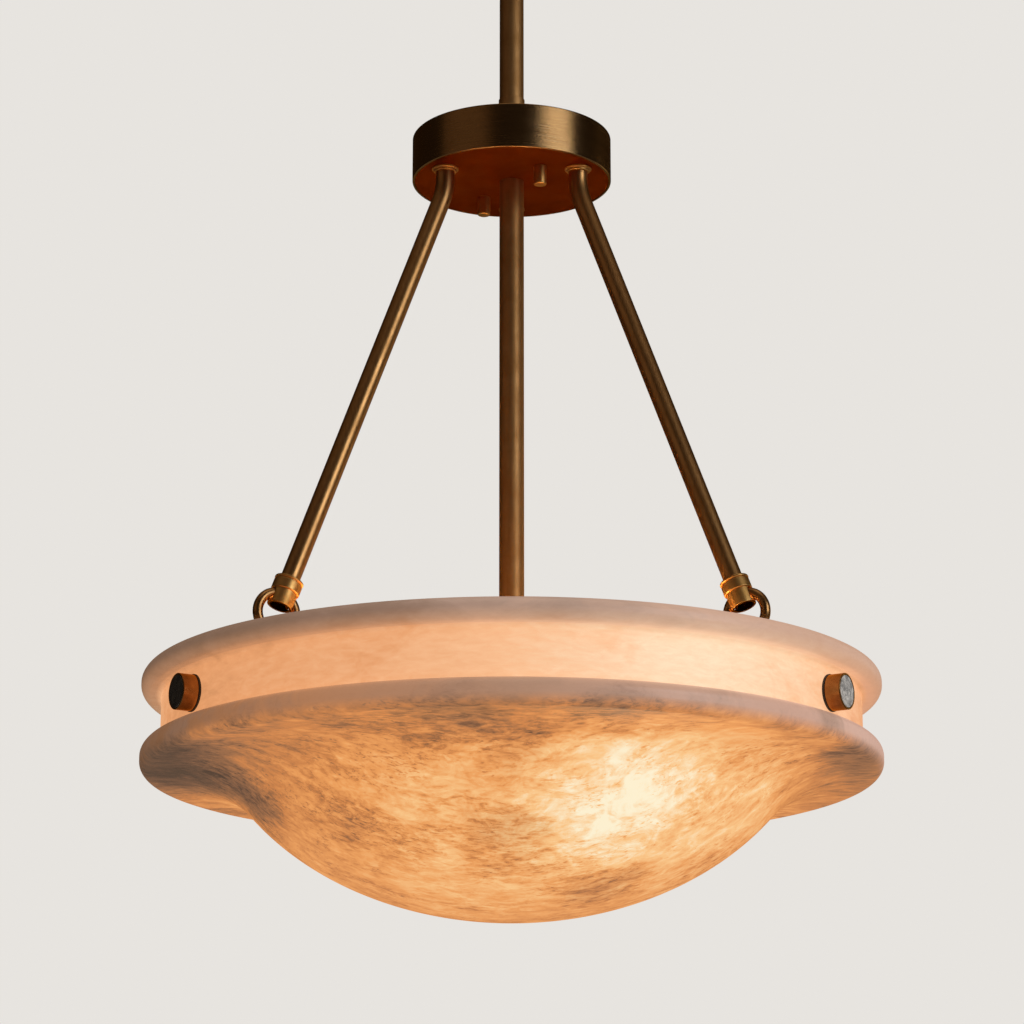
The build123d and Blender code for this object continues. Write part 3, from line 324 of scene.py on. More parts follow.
def bowlAlabaster():
    look, ranges = bowlLook, bowlLook["ranges"]
    material, tree, shader, split, veins = stoneStart("bowlAlabaster", look)
    strokes, marble, patches = veins["strokes"], veins["marble"], veins["patches"]
    radius = distanceFromStem(tree, objectPoint(tree))
    torn = pushedAbout(tree, objectPoint(tree), *look["tear"])
    glow = maths(tree, "MULTIPLY", nearness(tree, torn, look["glows"]), remap(tree, marble, *ranges["uneven"]))
    clouds = nearness(tree, torn, look["clouds"])
    # ink: dark strokes and flecks, thick in the clouds and thin over the lamps
    cover = maths(tree, "ADD", remap(tree, patches, *ranges["cover"]), clouds, clamp=True)
    ink = maths(tree, "ADD", remap(tree, strokes, *ranges["strokes"]),
                remap(tree, veins["flecks"], *ranges["flecks"]))
    ink = maths(tree, "ADD", maths(tree, "MULTIPLY", ink, cover), maths(tree, "MULTIPLY", clouds, look["cloudInk"]))
    ink = maths(tree, "MULTIPLY", ink, remap(tree, glow, *ranges["litInk"]), clamp=True)
    # brightness: painted light of the lamps, and wisps, less the dim places (painted shade near the rim), the ink and
    # fine hairs
    value = maths(tree, "ADD", remap(tree, radius, *ranges["base"], "SMOOTHSTEP"), glow)
    value = maths(tree, "SUBTRACT", value, nearness(tree, torn, look["dim"]))
    value = maths(tree, "SUBTRACT", value, maths(tree, "MULTIPLY", ink, look["inkDepth"]))
    hairs = maths(tree, "MULTIPLY", remap(tree, veins["hairs"], *ranges["hairs"]),
                  remap(tree, veins["clusters"], *ranges["clusters"]))
    value = maths(tree, "ADD", maths(tree, "SUBTRACT", value, hairs), remap(tree, strokes, *ranges["wisps"]))
    mottle = maths(tree, "ADD", remap(tree, marble, *ranges["cream"]), remap(tree, patches, *ranges["mottle"]))
    glowColor = ramp(tree, maths(tree, "ADD", value, mottle, clamp=True), look["glowColors"])
    # soft grey and purple in the densest clouds
    tinted = mixColor(tree, remap(tree, clouds, *ranges["cloudTint"]), glowColor, look["cloudColor"])
    # the thick rim lets little light through
    rimMask = maths(tree, "MULTIPLY", remap(tree, radius, *ranges["outerRim"], "SMOOTHSTEP"),
                    remap(tree, split["Z"], *ranges["upperRim"], "SMOOTHSTEP"), clamp=True)
    # the rim's colour is painted light, darker at the left and lighter at the right, with smudges of the stone over
    # it
    rimLightTint = ramp(tree, remap(tree, split["X"], *ranges["sideways"]), look["rimLightColors"])
    rimLitAndSmudged = mixColor(tree, remap(tree, patches, *ranges["smudge"]), rimLightTint, look["smudgeColor"])
    stoneEnd(tree, shader, look, mixColor(tree, rimMask, tinted, rimLitAndSmudged),
             mixColor(tree, ink, look["pale"], look["inked"]), strokes)
    return material


collarLook = {
    "color": (0.40, 0.32, 0.25), "roughness": 0.45, "emission": 0.92, "coat": 0.08, "coatRoughness": 0.32,
    "bump": (0.10, 0.0004), "base": 0.50,
    "veins": {
        "grain": ((60, 90, 220), (3, 0, 5), 8.0, 0.66, 0.4),
        "stains": ((12, 14, 26), (0, 0, 9), 5.0, 0.62, 0.9),
    },
    "ranges": {
        "grain": (0.3, 0.7, -0.05, 0.05), "stains": (0.52, 0.72, 0.0, 0.13), "sideways": (-0.28, 0.28, 0.0, 1.0),
        "veil": (0.35, 0.65, 0.10, -0.12), "flange": (0.2872, 0.2940, 0.0, 1.0), "high": (-0.744, -0.7345, 0.0, 1.0),
        "under": (-0.7345, -0.7230, 0.30, 0.0), "stone": (0.3, 0.7, 0.0, 1.0),
    },
    "glowColors": [
        (0.00, (0.160, 0.080, 0.045)),
        (0.35, (0.560, 0.235, 0.090)),
        (0.52, (0.800, 0.345, 0.140)),
        (0.70, (0.920, 0.490, 0.250)),
        (0.92, (0.960, 0.700, 0.460)),
    ],
    "flangeLightColors": [  # painted light: darker brown grey at the left, lighter pink at the right
        (0.00, (0.160, 0.084, 0.050)),
        (0.30, (0.205, 0.112, 0.076)),
        (0.52, (0.325, 0.198, 0.148)),
        (0.80, (0.520, 0.305, 0.215)),
        (1.00, (0.500, 0.275, 0.182)),
    ],
    "dark": (0.30, 0.23, 0.17), "pale": (0.38, 0.30, 0.23),
    "glows": [
        ((0.190, -0.225, -0.750), 0.230, 0.34),
        ((0.030, -0.285, -0.755), 0.210, 0.20),
        ((-0.150, -0.245, -0.755), 0.150, 0.05),
        ((0.200, 0.210, -0.755), 0.230, 0.30),
        ((-0.280, 0.060, -0.755), 0.200, 0.24),
    ],
}


def collarAlabaster():
    look, ranges = collarLook, collarLook["ranges"]
    material, tree, shader, split, veins = stoneStart("collarAlabaster", look)
    grain, stains = veins["grain"], veins["stains"]
    value = maths(tree, "ADD", nearness(tree, objectPoint(tree), look["glows"]), look["base"])
    value = maths(tree, "ADD", value, remap(tree, grain, *ranges["grain"]))
    value = maths(tree, "SUBTRACT", value, remap(tree, stains, *ranges["stains"]), clamp=True)
    glowColor = ramp(tree, value, look["glowColors"])
    # the flange stands clear of the lamps, and its lower edge takes a little of their light
    # painted light across the flange, darker at the left and lighter at the right, with the stains mixed in
    sideways = remap(tree, split["X"], *ranges["sideways"])
    sideLitAndStained = maths(tree, "ADD", sideways, remap(tree, stains, *ranges["veil"]), clamp=True)
    under = remap(tree, split["Z"], *ranges["under"], "SMOOTHSTEP")
    edgeColor = mixColor(tree, under, ramp(tree, sideLitAndStained, look["flangeLightColors"]), glowColor)
    outer = remap(tree, distanceFromStem(tree, objectPoint(tree)), *ranges["flange"], "SMOOTHSTEP")
    flange = maths(tree, "MULTIPLY", outer, remap(tree, split["Z"], *ranges["high"], "SMOOTHSTEP"), clamp=True)
    stoneEnd(tree, shader, look, mixColor(tree, flange, glowColor, edgeColor),
             mixColor(tree, remap(tree, grain, *ranges["stone"]), look["dark"], look["pale"]), grain)
    return material


bowlStone = bowlAlabaster()
collarStone = collarAlabaster()
print("stone made")


def rubberFinish():
    material, tree, shader = newMaterial("darkRubber", (0.018, 0.016, 0.015), 0.0, 0.62)
    grain = noise(tree, 900.0, 3.0, 0.6)
    feed(tree, shader, {"Roughness": remap(tree, grain, *middle, 0.50, 0.74)})
    bump(tree, shader, grain, 0.15, 0.0002)
    return material


def porcelainFinish():
    material, tree, shader = newMaterial("glazedPorcelain", (0.80, 0.78, 0.72), 0.0, 0.22)
    cloud = noise(tree, 60.0, 4.0, 0.55)
    tint = mixColor(tree, remap(tree, cloud, 0.35, 0.65, 0.0, 1.0), (0.80, 0.78, 0.73), (0.74, 0.71, 0.64))
    feed(tree, shader, {"Base Color": tint, "Coat Weight": 0.5, "Coat Roughness": 0.08})
    bump(tree, shader, cloud, 0.05, 0.0004)
    return material


def bulbFinish():
    # frosted glass that glows, a little darker towards the neck
    material, tree, shader = newMaterial("frostedBulb", (0.93, 0.90, 0.84), 0.0, 0.35)
    mist = noise(tree, 220.0, 3.0, 0.6)
    outer = remap(tree, distanceFromStem(tree, objectPoint(tree)), 0.085, 0.125, 0.0, 1.0, "SMOOTHSTEP")
    warm = ramp(tree, outer, [(0.0, (0.80, 0.38, 0.14)), (1.0, (1.0, 0.66, 0.34))])
    color = mixColor(tree, remap(tree, mist, *middle, 0.0, 0.12), warm, (1.0, 0.60, 0.28))
    feed(tree, shader, {"Emission Color": color, "Emission Strength": 25.0})
    return material


def mirrorFinish():
    # polished disc, mottled as old silvering is
    material, tree, shader = newMaterial("mottledSilver", (0.72, 0.72, 0.70), 1.0, 0.14)
    blotch = noise(tree, 190.0, 6.0, 0.68, 0.7)
    fleck = noise(tree, 700.0, 3.0, 0.6)
    tone = ramp(tree, blotch, [(0.34, (0.22, 0.23, 0.24)), (0.50, (0.50, 0.51, 0.52)), (0.66, (0.88, 0.88, 0.86))])
    feed(tree, shader, {
        "Base Color": mixColor(tree, remap(tree, fleck, 0.55, 0.75, 0.0, 0.5), tone, (0.90, 0.90, 0.88)),
        "Roughness": remap(tree, blotch, 0.35, 0.65, 0.30, 0.10),
    })
    bump(tree, shader, blotch, 0.25, 0.0005)
    return material


def bondFinish():
    material, tree, shader = newMaterial("bondLine", (0.24, 0.17, 0.13), 0.0, 0.7)
    color = mixColor(tree, noise(tree, 300.0, 3.0, 0.6), (0.20, 0.14, 0.10), (0.30, 0.22, 0.17))
    feed(tree, shader, {"Base Color": color})
    return material


blackRubber = rubberFinish()
porcelain = porcelainFinish()
frostedBulb = bulbFinish()
mottledSilver = mirrorFinish()
bondLine = bondFinish()
print("small finishes made")


def newTree(name, sockets):
    tree = bpy.data.node_groups.new(name, "GeometryNodeTree")
    tree.interface.new_socket(name="Shape", in_out="INPUT", socket_type="NodeSocketGeometry")
    for label, kind, value in sockets:
        tree.interface.new_socket(name=label, in_out="INPUT", socket_type=kind).default_value = value
    tree.interface.new_socket(name="Finish", in_out="INPUT", socket_type="NodeSocketMaterial")
    tree.interface.new_socket(name="Shape", in_out="OUTPUT", socket_type="NodeSocketGeometry")
    return tree, addNode(tree, "NodeGroupInput").outputs


def endTree(tree, start, shape):
    # every tree ends in Realize Instances and Set Material
    real = addNode(tree, "GeometryNodeRealizeInstances", {"Geometry": shape})
    finish = addNode(tree, "GeometryNodeSetMaterial", {
        "Geometry": real.outputs["Geometry"], "Material": start["Finish"],
    })
    addNode(tree, "NodeGroupOutput", {"Shape": finish.outputs["Geometry"]})
    return tree


def sweptMesh(tree, radius, sides, path=None, profile=None, capped=False):
    # a circle carried along a path, or a profile carried round a circle
    circle = addNode(tree, "GeometryNodeCurvePrimitiveCircle", {"Radius": radius, "Resolution": sides})
    return addNode(tree, "GeometryNodeCurveToMesh", {
        "Curve": path or circle.outputs["Curve"], "Profile Curve": profile or circle.outputs["Curve"],
        "Fill Caps": capped,
    }).outputs["Mesh"]


def turningTree():
    # a profile carried round the upright axis, as on a lathe
    tree, start = newTree("turnProfile", [
        ("Path radius", "NodeSocketFloat", 0.1),
        ("Segments", "NodeSocketInt", 128),
    ])
    outline = addNode(tree, "GeometryNodeMeshToCurve", {"Mesh": start["Shape"]}).outputs["Curve"]
    swept = sweptMesh(tree, start["Path radius"], start["Segments"], profile=outline)
    merged = addNode(tree, "GeometryNodeMergeByDistance", {"Geometry": swept, "Distance": 1e-6})
    return endTree(tree, start, merged.outputs["Geometry"])


def tubeTree():
    # a round rod or tube along a path
    tree, start = newTree("bendTube", [
        ("Tube radius", "NodeSocketFloat", 0.008),
        ("Sides", "NodeSocketInt", 48),
        ("Capped", "NodeSocketBool", True),
    ])
    path = addNode(tree, "GeometryNodeMeshToCurve", {"Mesh": start["Shape"]}).outputs["Curve"]
    swept = sweptMesh(tree, start["Tube radius"], start["Sides"], path=path, capped=start["Capped"])
    return endTree(tree, start, swept)


def aroundTree():
    # copies of one piece about the stem
    tree, start = newTree("standAround", [
        ("Copies", "NodeSocketInt", 3),
        ("First angle", "NodeSocketFloat", 0.0),
    ])
    points = addNode(tree, "GeometryNodePoints", {"Count": start["Copies"]})
    step = maths(tree, "DIVIDE", math.tau, start["Copies"])
    index = addNode(tree, "GeometryNodeInputIndex").outputs["Index"]
    turn = addNode(tree, "ShaderNodeMath", {0: index, 1: step, 2: start["First angle"]}, operation="MULTIPLY_ADD")
    angles = addNode(tree, "ShaderNodeCombineXYZ", {"Z": turn.outputs["Value"]})
    rotation = addNode(tree, "FunctionNodeEulerToRotation", {"Euler": angles.outputs["Vector"]})
    stand = addNode(tree, "GeometryNodeInstanceOnPoints", {
        "Points": points.outputs[0], "Instance": start["Shape"], "Rotation": rotation.outputs["Rotation"],
    })
    return endTree(tree, start, stand.outputs["Instances"])


trees = {"turn": turningTree(), "tube": tubeTree(), "around": aroundTree()}
meshCare = {  # metres and degrees
    "merge": 1e-6, "thinnest": 1e-7, "sharp": 32.0,
    "cadMerge": 2e-6, "cadFlat": 0.6, "cadSharp": 34.0, "cadEased": 50.0,
}


def newPiece(name, data):
    piece = bpy.data.objects.new(name, data)
    bpy.context.scene.collection.objects.link(piece)
    return piece


def settle(piece, modifier):
    # what the modifier builds becomes the piece's own plain mesh
    bpy.context.view_layer.update()
    built = bpy.data.meshes.new_from_object(piece.evaluated_get(bpy.context.evaluated_depsgraph_get()))
    piece.modifiers.remove(modifier)
    old = piece.data
    piece.data = built
    bpy.data.meshes.remove(old)


def runTree(piece, tree, values):
    # the inputs are set by identifier
    modifier = piece.modifiers.new("build", "NODES")
    modifier.node_group = tree
    for item in tree.interface.items_tree:
        if item.item_type == "SOCKET" and item.in_out == "INPUT" and item.name in values:
            modifier[item.identifier] = values[item.name]
    settle(piece, modifier)


def lineMesh(name, points, closed):
    mesh = bpy.data.meshes.new(name)
    edges = [(i, i + 1) for i in range(len(points) - 1)]
    if closed:
        edges.append((len(points) - 1, 0))
    mesh.from_pydata([Vector(p) for p in points], edges, [])
    return newPiece(name, mesh)


def tidyMesh(piece):
    work = bmesh.new()
    work.from_mesh(piece.data)
    bmesh.ops.remove_doubles(work, verts=work.verts, dist=meshCare["merge"])
    bmesh.ops.dissolve_degenerate(work, edges=work.edges, dist=meshCare["thinnest"])
    bmesh.ops.recalc_face_normals(work, faces=work.faces)
    work.to_mesh(piece.data)
    work.free()
    piece.data.shade_smooth()
    piece.data.set_sharp_from_angle(angle=math.radians(meshCare["sharp"]))
    return piece


def roundedOutline(corners, closed=True, arcSteps=6, support=0.25):
    # corners are (across, up, radius) in mm; a radius of 0 keeps the corner sharp
    points = []
    for number, (across, up, radius) in enumerate(corners):
        here = Vector((across, up))
        lastOne = not closed and number in (0, len(corners) - 1)
        if radius <= 0 or lastOne:
            points.append(here)
            continue
        before = (Vector(corners[number - 1][:2]) - here).normalized()
        after = (Vector(corners[(number + 1) % len(corners)][:2]) - here).normalized()
        opening = before.angle(after)
        reach = radius / math.tan(opening / 2)
        centre = here + (before + after).normalized() * (radius / math.sin(opening / 2))
        first = here + before * reach - centre
        final = here + after * reach - centre
        startAngle = math.atan2(first.y, first.x)
        turn = (math.atan2(final.y, final.x) - startAngle + math.pi) % math.tau - math.pi
        points.append(here + before * (reach + support))
        for step in range(arcSteps + 1):
            angle = startAngle + turn * step / arcSteps
            points.append(centre + Vector((math.cos(angle), math.sin(angle))) * radius)
        points.append(here + after * (reach + support))
    return points


def turned(name, outline, material, segments=128, closed=True):
    # outline in mm: distance from the axis and height
    reach = max(p[0] for p in outline)
    profile = [((p[0] - reach) * mm, -p[1] * mm, 0.0) for p in outline]
    piece = lineMesh(name, profile, closed)
    runTree(piece, trees["turn"], {"Path radius": reach * mm, "Segments": segments, "Finish": material})
    return tidyMesh(piece)


def moved(piece, matrix):
    piece.data.transform(matrix)
    return piece


def around(piece, angles, material):
    first = math.radians(angles[0])
    runTree(piece, trees["around"], {"Copies": len(angles), "First angle": first, "Finish": material})
    return tidyMesh(piece)


def place(piece, body, slotName, *nodes):
    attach(piece, body)
    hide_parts(*nodes)
    return piece


def threeOf(name):
    return [f"{name}_{number}" for number in (1, 2, 3)]


def fromCad(name, body, slotName, material, nodes, edge=0.0):
    # merged copies of CAD nodes, smooth shaded, with their sharp edges eased
    work = bmesh.new()
    for node in nodes:
        work.from_mesh(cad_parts[node].data)
    bmesh.ops.remove_doubles(work, verts=work.verts, dist=meshCare["cadMerge"])
    flat = math.radians(meshCare["cadFlat"])
    bmesh.ops.dissolve_limit(work, angle_limit=flat, verts=work.verts, edges=work.edges)
    mesh = bpy.data.meshes.new(name)
    work.to_mesh(mesh)
    work.free()
    mesh.materials.append(material)
    mesh.shade_smooth()
    mesh.set_sharp_from_angle(angle=math.radians(meshCare["cadSharp"]))
    piece = newPiece(name, mesh)
    if edge:
        easing = piece.modifiers.new("ease", "BEVEL")
        easing.width = edge * mm
        easing.segments = 2
        easing.limit_method = "ANGLE"
        easing.angle_limit = math.radians(meshCare["cadEased"])
        easing.use_clamp_overlap = True
        easing.harden_normals = True
        settle(piece, easing)
    return place(piece, body, slotName, *nodes)


print("node trees made")

bowlSizes = {
    "rimTop": -777.0, "rimThick": 22.0, "rimRadius": 305.0, "rimRound": 9.0, "coveStart": 280.0,
    "bellyRadius": 260.0, "bellyHeight": 196.0, "bellyCentre": -718.0, "wall": 16.0, "mouth": 268.0,
}


def bellyLine(sizes, wall, steps=56, coveSteps=24):
    # from the stem's axis along the ellipse and out through the cove, as (across, up)
    wide, tall = sizes["bellyRadius"] - wall, sizes["bellyHeight"] - wall
    startUp = sizes["rimTop"] - sizes["rimThick"] + wall
    low, high = 0.2, 1.5
    for _ in range(60):  # halving, until the cove ends where the ellipse does
        angle = (low + high) / 2
        slope = math.atan(tall / wide * math.tan(angle))
        cove = (sizes["coveStart"] - wide * math.sin(angle)) / math.sin(slope)
        if startUp - cove * (1 - math.cos(slope)) > sizes["bellyCentre"] - tall * math.cos(angle):
            low = angle
        else:
            high = angle
    turns = [angle * i / steps for i in range(steps + 1)]
    line = [(wide * math.sin(t), sizes["bellyCentre"] - tall * math.cos(t)) for t in turns]
    first = 0.0 if wall == 0 else math.asin((sizes["coveStart"] - sizes["mouth"]) / cove)
    for i in range(1, coveSteps + 1):
        t = slope + (first - slope) * i / coveSteps
        line.append((sizes["coveStart"] - cove * math.sin(t), startUp - cove * (1 - math.cos(t))))
    return line


def makeBowl():
    s = bowlSizes
    outer = bellyLine(s, 0.0)
    inner = bellyLine(s, s["wall"])
    low = s["rimTop"] - s["rimThick"]
    rim = roundedOutline([
        (s["coveStart"], low, 0), (s["rimRadius"], low, s["rimRound"]), (s["rimRadius"], s["rimTop"], s["rimRound"]),
        (s["mouth"], s["rimTop"], 1.5), (s["mouth"], inner[-1][1], 0),
    ], closed=False, arcSteps=12)
    outline = outer[:-1] + [tuple(p) for p in rim[:-1]] + list(reversed(inner))
    piece = turned("bowlBelly", outline, bowlStone, segments=288)
    return place(piece, "bowl", "bowl_stone", "alabaster_bowl")


collarSizes = {
    "top": -716.5, "flangeRadius": 305.0, "flangeThick": 18.0, "flangeRound": 8.0,
    "bandRadius": 288.5, "bandInner": 270.5, "bandCove": 3.0, "innerRound": 5.0, "height": 60.0,
}


def makeCollar():
    s = collarSizes
    outline = roundedOutline([
        (s["bandInner"], s["top"] - s["height"], 0.6),
        (s["bandRadius"], s["top"] - s["height"], 0.6),
        (s["bandRadius"], s["top"] - s["flangeThick"], s["bandCove"]),
        (s["flangeRadius"], s["top"] - s["flangeThick"], s["flangeRound"]),
        (s["flangeRadius"], s["top"], s["flangeRound"]),
        (s["bandInner"], s["top"], s["innerRound"]),
    ], arcSteps=12)
    piece = turned("collarRing", outline, collarStone, segments=288)
    return place(piece, "bowl", "collar_stone", "alabaster_collar")


def tubeOutline(inner, outer, low, top, edge):
    return roundedOutline([(inner, low, 0), (outer, low, edge), (outer, top, edge), (inner, top, 0)], arcSteps=3)


bondSizes = {"inner": 273.5, "outer": 285.5, "low": -777.0, "top": -776.5, "edge": 0}

makeBowl()
makeCollar()
place(turned("bondLineRing", tubeOutline(*bondSizes.values()), bondLine, 192), "bowl", "bond", "bond_ring")
print("bowl and collar made")

hubSizes = {"radius": 85.75, "top": -237.0, "low": -276.0, "wall": 2.0, "edge": 0.9, "lip": 0.2, "stemHole": 10.7}
plateSizes = {"inner": 10.7, "outer": 83.65, "low": -275.5, "top": -271.5, "edge": 0.3}


def makeHub():
    s = hubSizes
    cover = roundedOutline([
        (s["stemHole"], s["top"], 0), (s["radius"], s["top"], s["edge"]), (s["radius"], s["low"], s["edge"]),
        (s["radius"] - s["wall"], s["low"], s["lip"]), (s["radius"] - s["wall"], s["top"] - s["wall"], 0),
        (s["stemHole"], s["top"] - s["wall"], 0),
    ], arcSteps=5)
    place(turned("hubDrum", cover, brass["hubSide"], 256), "drop", "brass_brushed", "hub_cover")
    plate = tubeOutline(*plateSizes.values())
    # the orange red of the plate under the hub is painted reflection of the lit bowl
    place(turned("hubFloor", plate, brass["hubUnderGlowTint"], 192), "drop", "brass_plate", "hub_plate")


stemSizes = {
    "upper_stem": {"inner": 9.0, "outer": 10.5, "low": -250.0, "top": -79.9, "edge": 0.2},
    "lower_stem": {"inner": 9.0, "outer": 10.5, "low": -749.0, "top": -254.0, "edge": 0.2},
    "stem_sleeve": {"inner": 10.6, "outer": 11.3, "low": -237.0, "top": -199.5, "edge": 0.5},
}

makeHub()
for name, node in (("stemUpper", "upper_stem"), ("stemLower", "lower_stem"), ("stemFoot", "stem_sleeve")):
    tube = turned(name, tubeOutline(*stemSizes[node].values()), brass["tube"], 96)
    place(tube, "drop", "brass_tube", node)

capNutSizes = {"spread": 44.45, "angle": 123.0, "radius": 5.5, "top": -275.5, "low": -292.0, "edge": 1.0}


def makeCapNuts():
    s = capNutSizes
    outline = roundedOutline([
        (0, s["low"], 0), (s["radius"], s["low"], s["edge"]), (s["radius"], s["top"], 0), (0, s["top"], 0),
    ])
    nut = moved(turned("hubCapNuts", outline, brass["turned"], 48), Matrix.Translation((s["spread"] * mm, 0, 0)))
    around(nut, (s["angle"], s["angle"] + 180), brass["turned"])
    place(nut, "drop", "brass_turned", "hub_cap_nuts")


makeCapNuts()
print("hub and stem made")

armSizes = {
    "lean": 21.36, "foot": 65.5, "top": -262.0, "bend": -296.0, "bendRadius": 60.0, "lip": -655.6,
    "seat": 8.0, "radius": 8.0,
}
lean = math.radians(armSizes["lean"])
lipAcross = armSizes["foot"] + (armSizes["bend"] - armSizes["lip"]) * math.tan(lean)


def alongArm(reach):
    # a place on the arm's line in mm, at this reach beyond the ferrule's lip
    return Vector((lipAcross + reach * math.sin(lean), 0, armSizes["lip"] - reach * math.cos(lean)))


def makeArms():
    s = armSizes
    end = alongArm(s["seat"])
    path = roundedOutline([(s["foot"], s["top"], 0), (s["foot"], s["bend"], s["bendRadius"]), (end.x, end.z, 0)],
                          closed=False, arcSteps=20)
    piece = lineMesh("armTubes", [(p[0] * mm, 0, p[1] * mm) for p in path], False)
    runTree(piece, trees["tube"], {
        "Tube radius": s["radius"] * mm, "Sides": 64, "Capped": True, "Finish": brass["arm"],
    })
    around(piece, threeArms, brass["arm"])
    place(piece, "drop", "brass_tube", *threeOf("arm"))


rosetteSizes = {
    "inner": 8.1, "flange": 11.5, "neck": 9.7, "top": -275.5, "step": -277.2, "low": -279.1, "round": 0.7,
}


def makeRosettes():
    s = rosetteSizes
    outline = roundedOutline([
        (s["inner"], s["low"], 0), (s["neck"], s["low"], s["round"]), (s["neck"], s["step"], 0.3),
        (s["flange"], s["step"], s["round"]), (s["flange"], s["top"], 0.2), (s["inner"], s["top"], 0),
    ], arcSteps=5)
    ring = turned("armRosettes", outline, brass["turned"], 64)
    moved(ring, Matrix.Translation((armSizes["foot"] * mm, 0, 0)))
    around(ring, threeArms, brass["turned"])
    place(ring, "drop", "brass_turned", "arm_rosettes")


def armFrame():
    # turns a piece made upright about the origin onto the arm's end: its -Z runs down the arm
    start = alongArm(0.0) * mm
    return Matrix.Translation(start) @ Matrix.Rotation(-lean, 4, "Y")


ferruleSizes = {
    "bore": 8.1, "lip": 12.1, "lipThick": 2.2, "lipRound": 0.9, "neck": 11.0, "neckEnd": 3.0, "band": 11.8,
    "bandTopRound": 0.6, "bandLowRound": 1.0, "length": 11.6, "skirt": 10.9, "skirtTop": 9.5, "recess": 10.0,
    "floor": 3.2,
}


def makeFerrules():
    s = ferruleSizes
    outline = roundedOutline([
        (s["bore"], 0, 0.2), (s["lip"], 0, s["lipRound"]), (s["lip"], -s["lipThick"], s["lipRound"]),
        (s["neck"], -s["lipThick"], 0.15), (s["neck"], -s["neckEnd"], 0.15),
        (s["band"], -s["neckEnd"], s["bandTopRound"]), (s["band"], -s["length"], s["bandLowRound"]),
        (s["skirt"], -s["length"], 0.1), (s["skirt"], -s["skirtTop"], 0), (s["recess"], -s["skirtTop"], 0),
        (s["recess"], -s["floor"], 0), (s["bore"], -s["floor"], 0),
    ], arcSteps=5, support=0.04)
    piece = moved(turned("armFerrules", outline, brass["turned"], 96), armFrame())
    around(piece, threeArms, brass["turned"])
    place(piece, "drop", "brass_turned", *threeOf("arm_ferrule"))


cupSizes = {"edge": 0.3, "bore": 8.7, "mouth": 24.5}


def markBores(piece, bore, mouth):
    # marks the faces inside the cups and across their mouths, which stay dull and dark: painted shade
    inwards = [(Matrix.Rotation(math.radians(angle), 4, "Z") @ armFrame()).inverted() for angle in threeArms]
    marks = []
    for face in piece.data.polygons:
        spot = min((turn @ face.center for turn in inwards), key=lambda p: p.xy.length)
        marks.append(1.0 if spot.xy.length < bore * mm or spot.z < -mouth * mm else 0.0)
    piece.data.attributes.new("bore", "FLOAT", "FACE").data.foreach_set("value", marks)


makeArms()
makeRosettes()
makeFerrules()
armCups = fromCad("armCups", "drop", "brass_turned", brass["cup"], threeOf("arm_cup"), cupSizes["edge"])
markBores(armCups, cupSizes["bore"], cupSizes["mouth"])
print("arms made")

linkSizes = {"ring": 16.7, "rod": 4.1, "reach": 30.3574, "steps": 96, "sides": 32}


def makeLinks():
    s = linkSizes
    centre = alongArm(s["reach"])
    spokes = [math.tau * i / s["steps"] for i in range(s["steps"])]
    loop = [((centre.x + s["ring"] * math.cos(a)) * mm, 0, (centre.z + s["ring"] * math.sin(a)) * mm) for a in spokes]
    for number, angle in enumerate(threeArms, start=1):
        piece = lineMesh(f"ringLink{number}", loop, True)
        runTree(piece, trees["tube"], {
            "Tube radius": s["rod"] * mm, "Sides": s["sides"], "Capped": False, "Finish": brass["rod"],
        })
        moved(tidyMesh(piece), Matrix.Rotation(math.radians(angle), 4, "Z"))
        place(piece, f"ring_{number}", "brass_rod", f"ring_link_{number}")


studSizes = {
    "height": -757.0, "start": 289.9, "length": 13.1, "radius": 14.5, "edge": 0.7, "recess": 13.0,
    "insertSink": 0.2, "insertThick": 1.0, "insertRadius": 12.9,
}


def outwards():
    # turns a piece made upright at the origin so that its +Z points away from the stem
    foot = Matrix.Translation((studSizes["start"] * mm, 0, studSizes["height"] * mm))
    return foot @ Matrix.Rotation(math.radians(90), 4, "Y")


def makeStuds():
    s = studSizes
    sunk = s["length"] - s["insertSink"] - s["insertThick"]
    shell = roundedOutline([
        (0, 0, 0), (s["radius"], 0, 0.4), (s["radius"], s["length"], s["edge"]), (s["recess"], s["length"], 0.25),
        (s["recess"], sunk, 0), (0, sunk, 0),
    ], arcSteps=5, support=0.1)
    buttons = moved(turned("studButtons", shell, brass["button"], 96, closed=False), outwards())
    around(buttons, threeArms, brass["button"])
    place(buttons, "bowl", "brass_turned", *threeOf("stud_button"))
    disc = roundedOutline([
        (0, sunk, 0), (s["insertRadius"], sunk, 0), (s["insertRadius"], sunk + s["insertThick"], 0.35),
        (0, sunk + s["insertThick"], 0),
    ], arcSteps=4, support=0.1)
    faces = moved(turned("studFaces", disc, mottledSilver, 96, closed=False), outwards())
    around(faces, threeArms, mottledSilver)
    place(faces, "bowl", "mirror_disc", "stud_inserts")


makeLinks()
makeStuds()
fromCad("studGaskets", "bowl", "rubber", blackRubber, ["stud_washers"])
fromCad("hangerStraps", "bowl", "brass_strap", brass["strap"], threeOf("hanger_bracket"), 0.5)
fromCad("hangerPads", "bowl", "rubber", blackRubber, ["bracket_pads"])
fromCad("hangerBolts", "bowl", "steel_zinc", zincSteel, ["stud_bolts"], 0.4)
fromCad("hangerWashers", "bowl", "steel_zinc", zincSteel, ["bracket_washers"], 0.2)
fromCad("hangerNuts", "bowl", "steel_zinc", zincSteel, ["bracket_nuts"], 0.4)
print("links, hangers and studs made")

